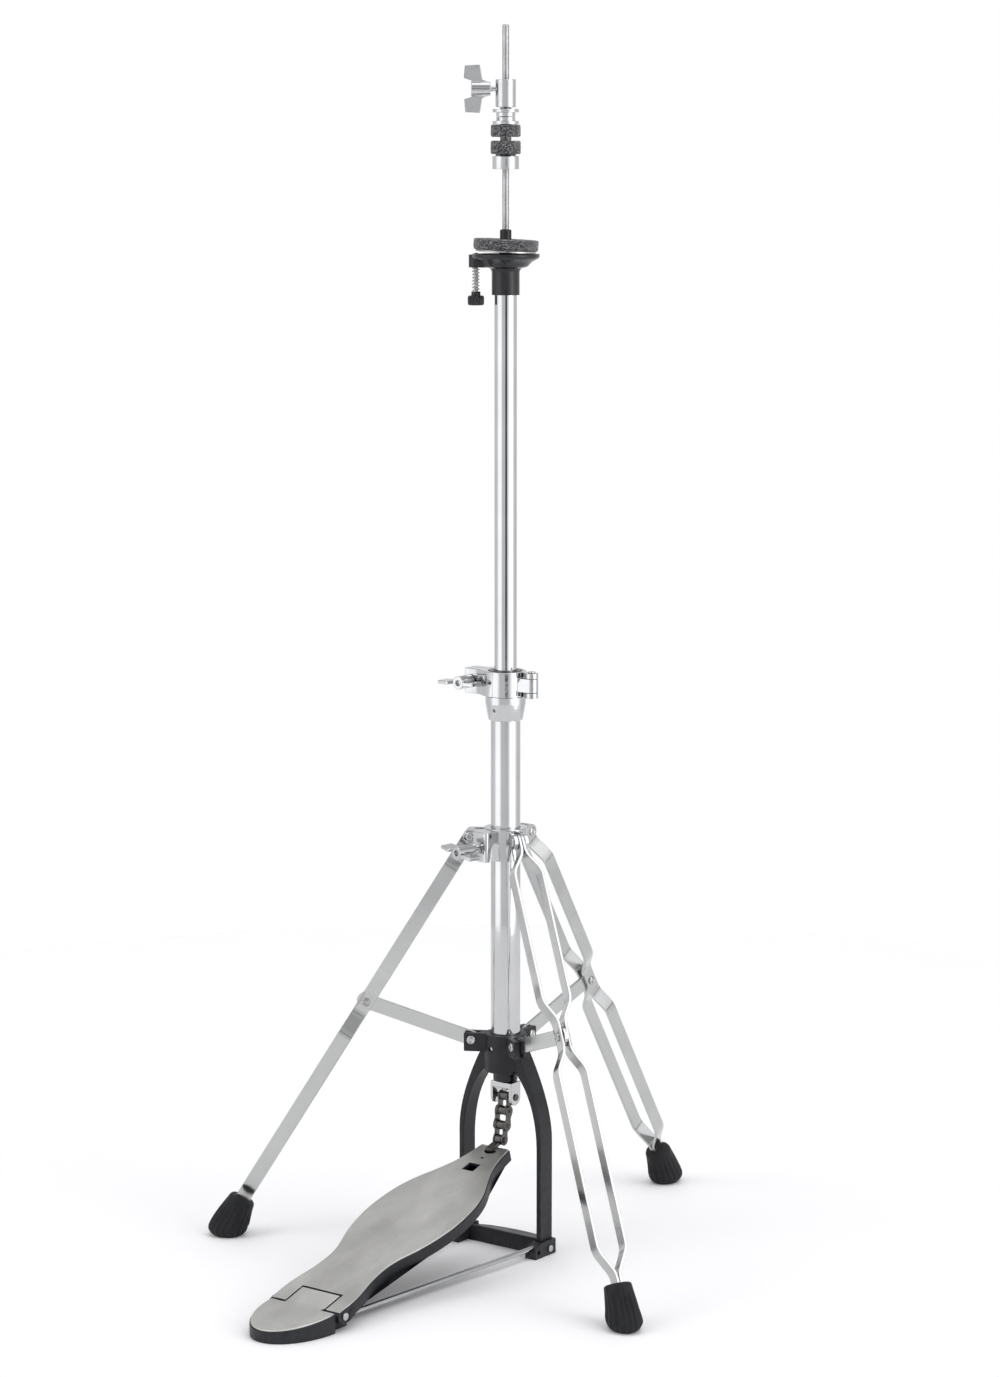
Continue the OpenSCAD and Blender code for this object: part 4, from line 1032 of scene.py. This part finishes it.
class HATSTAND_OT_seat(HatStandBuild, bpy.types.Operator):
    """The cymbal seat: cup, washer, felt, and the tilt screw with its spring and knob"""

    bl_idname = "hatstand.seat"
    bl_label = "Cymbal seat"

    def make(self, context):
        finished_node("seat_cup", "black_nylon", 0.35 * MM, crease=30)
        turned_piece("seat_washer_plated", ring_profile(25.3, 7.0, 0, 1.5), "seat_washer", "fastener_steel",
                     place=SEAT_PLACE, segments=128)
        felt = felt_piece("seat_felt_pressed", "seat_felt", 26.9, 7.3, 1.6, 10.5, SEAT_PLACE)
        nap("seat_felt_nap", felt, "seat_felt", 0.9, 3)
        foot, pitch = 816.0, 0.7
        length = 853.6 - foot
        mesh = thread_shape().build("tilt_screw_threaded", "fastener_steel", None,
                                    TILT_SCREW_PLACE @ Matrix.Translation((0, 0, foot)), Radius=2.0,
                                    Length=length, Pitch=pitch, Depth=0.25, Nose=0.8,
                                    Rows=int(length / pitch * 5), Around=21)
        new_piece("tilt_screw_threaded", mesh, "tilt_screw", "fastener_steel", ["tilt_screw"], crease=180)
        mesh = coil_shape().build("tilt_spring_coil", "spring_steel", None,
                                  TILT_SCREW_PLACE @ Matrix.Translation((0, 0, 821.7)),
                                  **{"Coil Radius": 2.85, "Wire Radius": 0.45, "Height": 19.6, "Turns": 7.0})
        new_piece("tilt_spring_coil", mesh, BODY["tilt_spring"], "spring_steel", ["tilt_spring"], crease=180)
        flutes = sizes().knob_flutes

        def wave(turn, r, z):
            if r < 6.0 or not 810.5 < z < 817.8:
                return 0.0
            return -0.75 * (0.5 - 0.5 * math.cos(flutes * turn)) ** 2

        profile = [(0, 810), (5.6, 810), (6.3, 810.3), (6.8, 811.0), (6.9, 812), (6.9, 814), (6.9, 816),
                   (6.8, 817), (6.2, 817.7), (5.6, 818.1), (3.9, 818.2), (3.8, 821.2), (3.5, 821.4),
                   (0, 821.4)]
        turned_piece("tilt_knob_fluted", profile, "tilt_knob", "black_nylon", 0.0, TILT_SCREW_PLACE, False,
                     flutes * 8, wave=wave, crease=60)


class HATSTAND_OT_clutch(HatStandBuild, bpy.types.Operator):
    """The clutch: body, threaded tube, felts, flanged nuts and wing screw"""

    bl_idname = "hatstand.clutch"
    bl_label = "Clutch"

    def make(self, context):
        finished_node("clutch_body", "fitting_chrome", 0.5 * MM)
        mesh = thread_shape().build("clutch_tube_threaded", "fastener_steel", None,
                                    Matrix.Translation((0, 0, 922.8)), Radius=4.85, Length=50.18,
                                    Pitch=1.0, Depth=0.3, Nose=0.1, Rows=250, Around=49)
        new_piece("clutch_tube_threaded", mesh, "clutch", "fastener_steel", ["clutch_tube"], crease=180)
        still = Matrix.Identity(4)
        upper = felt_piece("clutch_felt_upper_pressed", "clutch_felt_upper", 12.3, 5.2, 948.75, 958.65,
                           still)
        lower = felt_piece("clutch_felt_lower_pressed", "clutch_felt_lower", 12.4, 5.2, 934.65, 945.55,
                           still)
        nap("clutch_felt_upper_nap", upper, "clutch_felt_upper", 0.9, 7)
        nap("clutch_felt_lower_nap", lower, "clutch_felt_lower", 0.9, 8)
        turned_piece("clutch_washer_turned", ring_profile(8.5, 5.1, 933.2, 934.5), "clutch_washer",
                     "black_nylon")
        finished_node("clutch_wing_screw", "fitting_chrome", 0.6 * MM)
        finished_node("jam_nut_upper", "fitting_chrome", 0.35 * MM)
        finished_node("jam_nut_lower", "fitting_chrome", 0.35 * MM)
        finished_node("clutch_nut", "fitting_chrome", 0.5 * MM)


BUILDERS = (HATSTAND_OT_stage, HATSTAND_OT_tubes, HATSTAND_OT_clamp, HATSTAND_OT_collar, HATSTAND_OT_legs,
            HATSTAND_OT_rivets, HATSTAND_OT_feet, HATSTAND_OT_castings, HATSTAND_OT_pedal, HATSTAND_OT_chain,
            HATSTAND_OT_pull_rod, HATSTAND_OT_seat, HATSTAND_OT_clutch)


class HATSTAND_PT_panel(bpy.types.Panel):
    """Lists the stand's settings and the operators that build it"""

    bl_idname = "HATSTAND_PT_panel"
    bl_label = "Hi-hat stand"
    bl_space_type = "VIEW_3D"
    bl_region_type = "UI"
    bl_category = "Hi-hat stand"

    def draw(self, context):
        for group in (context.scene.hat_stand_sizes, context.scene.hat_stand_finishes):
            box = self.layout.box()
            for name in group.__annotations__:
                box.prop(group, name)
        for builder in BUILDERS:
            self.layout.operator(builder.bl_idname)


CLASSES = (HatStandSizes, HatStandFinishes, *BUILDERS, HATSTAND_PT_panel)


def register():
    for cls in CLASSES:
        bpy.utils.register_class(cls)
    bpy.types.Scene.hat_stand_sizes = bpy.props.PointerProperty(type=HatStandSizes)
    bpy.types.Scene.hat_stand_finishes = bpy.props.PointerProperty(type=HatStandFinishes)


def unregister():
    del bpy.types.Scene.hat_stand_finishes
    del bpy.types.Scene.hat_stand_sizes
    for cls in reversed(CLASSES):
        bpy.utils.unregister_class(cls)


def main():
    """Builds the whole stand."""
    register()
    for builder in BUILDERS:
        group, name = builder.bl_idname.split(".")
        getattr(getattr(bpy.ops, group), name)()


if __name__ == "__main__":
    main()
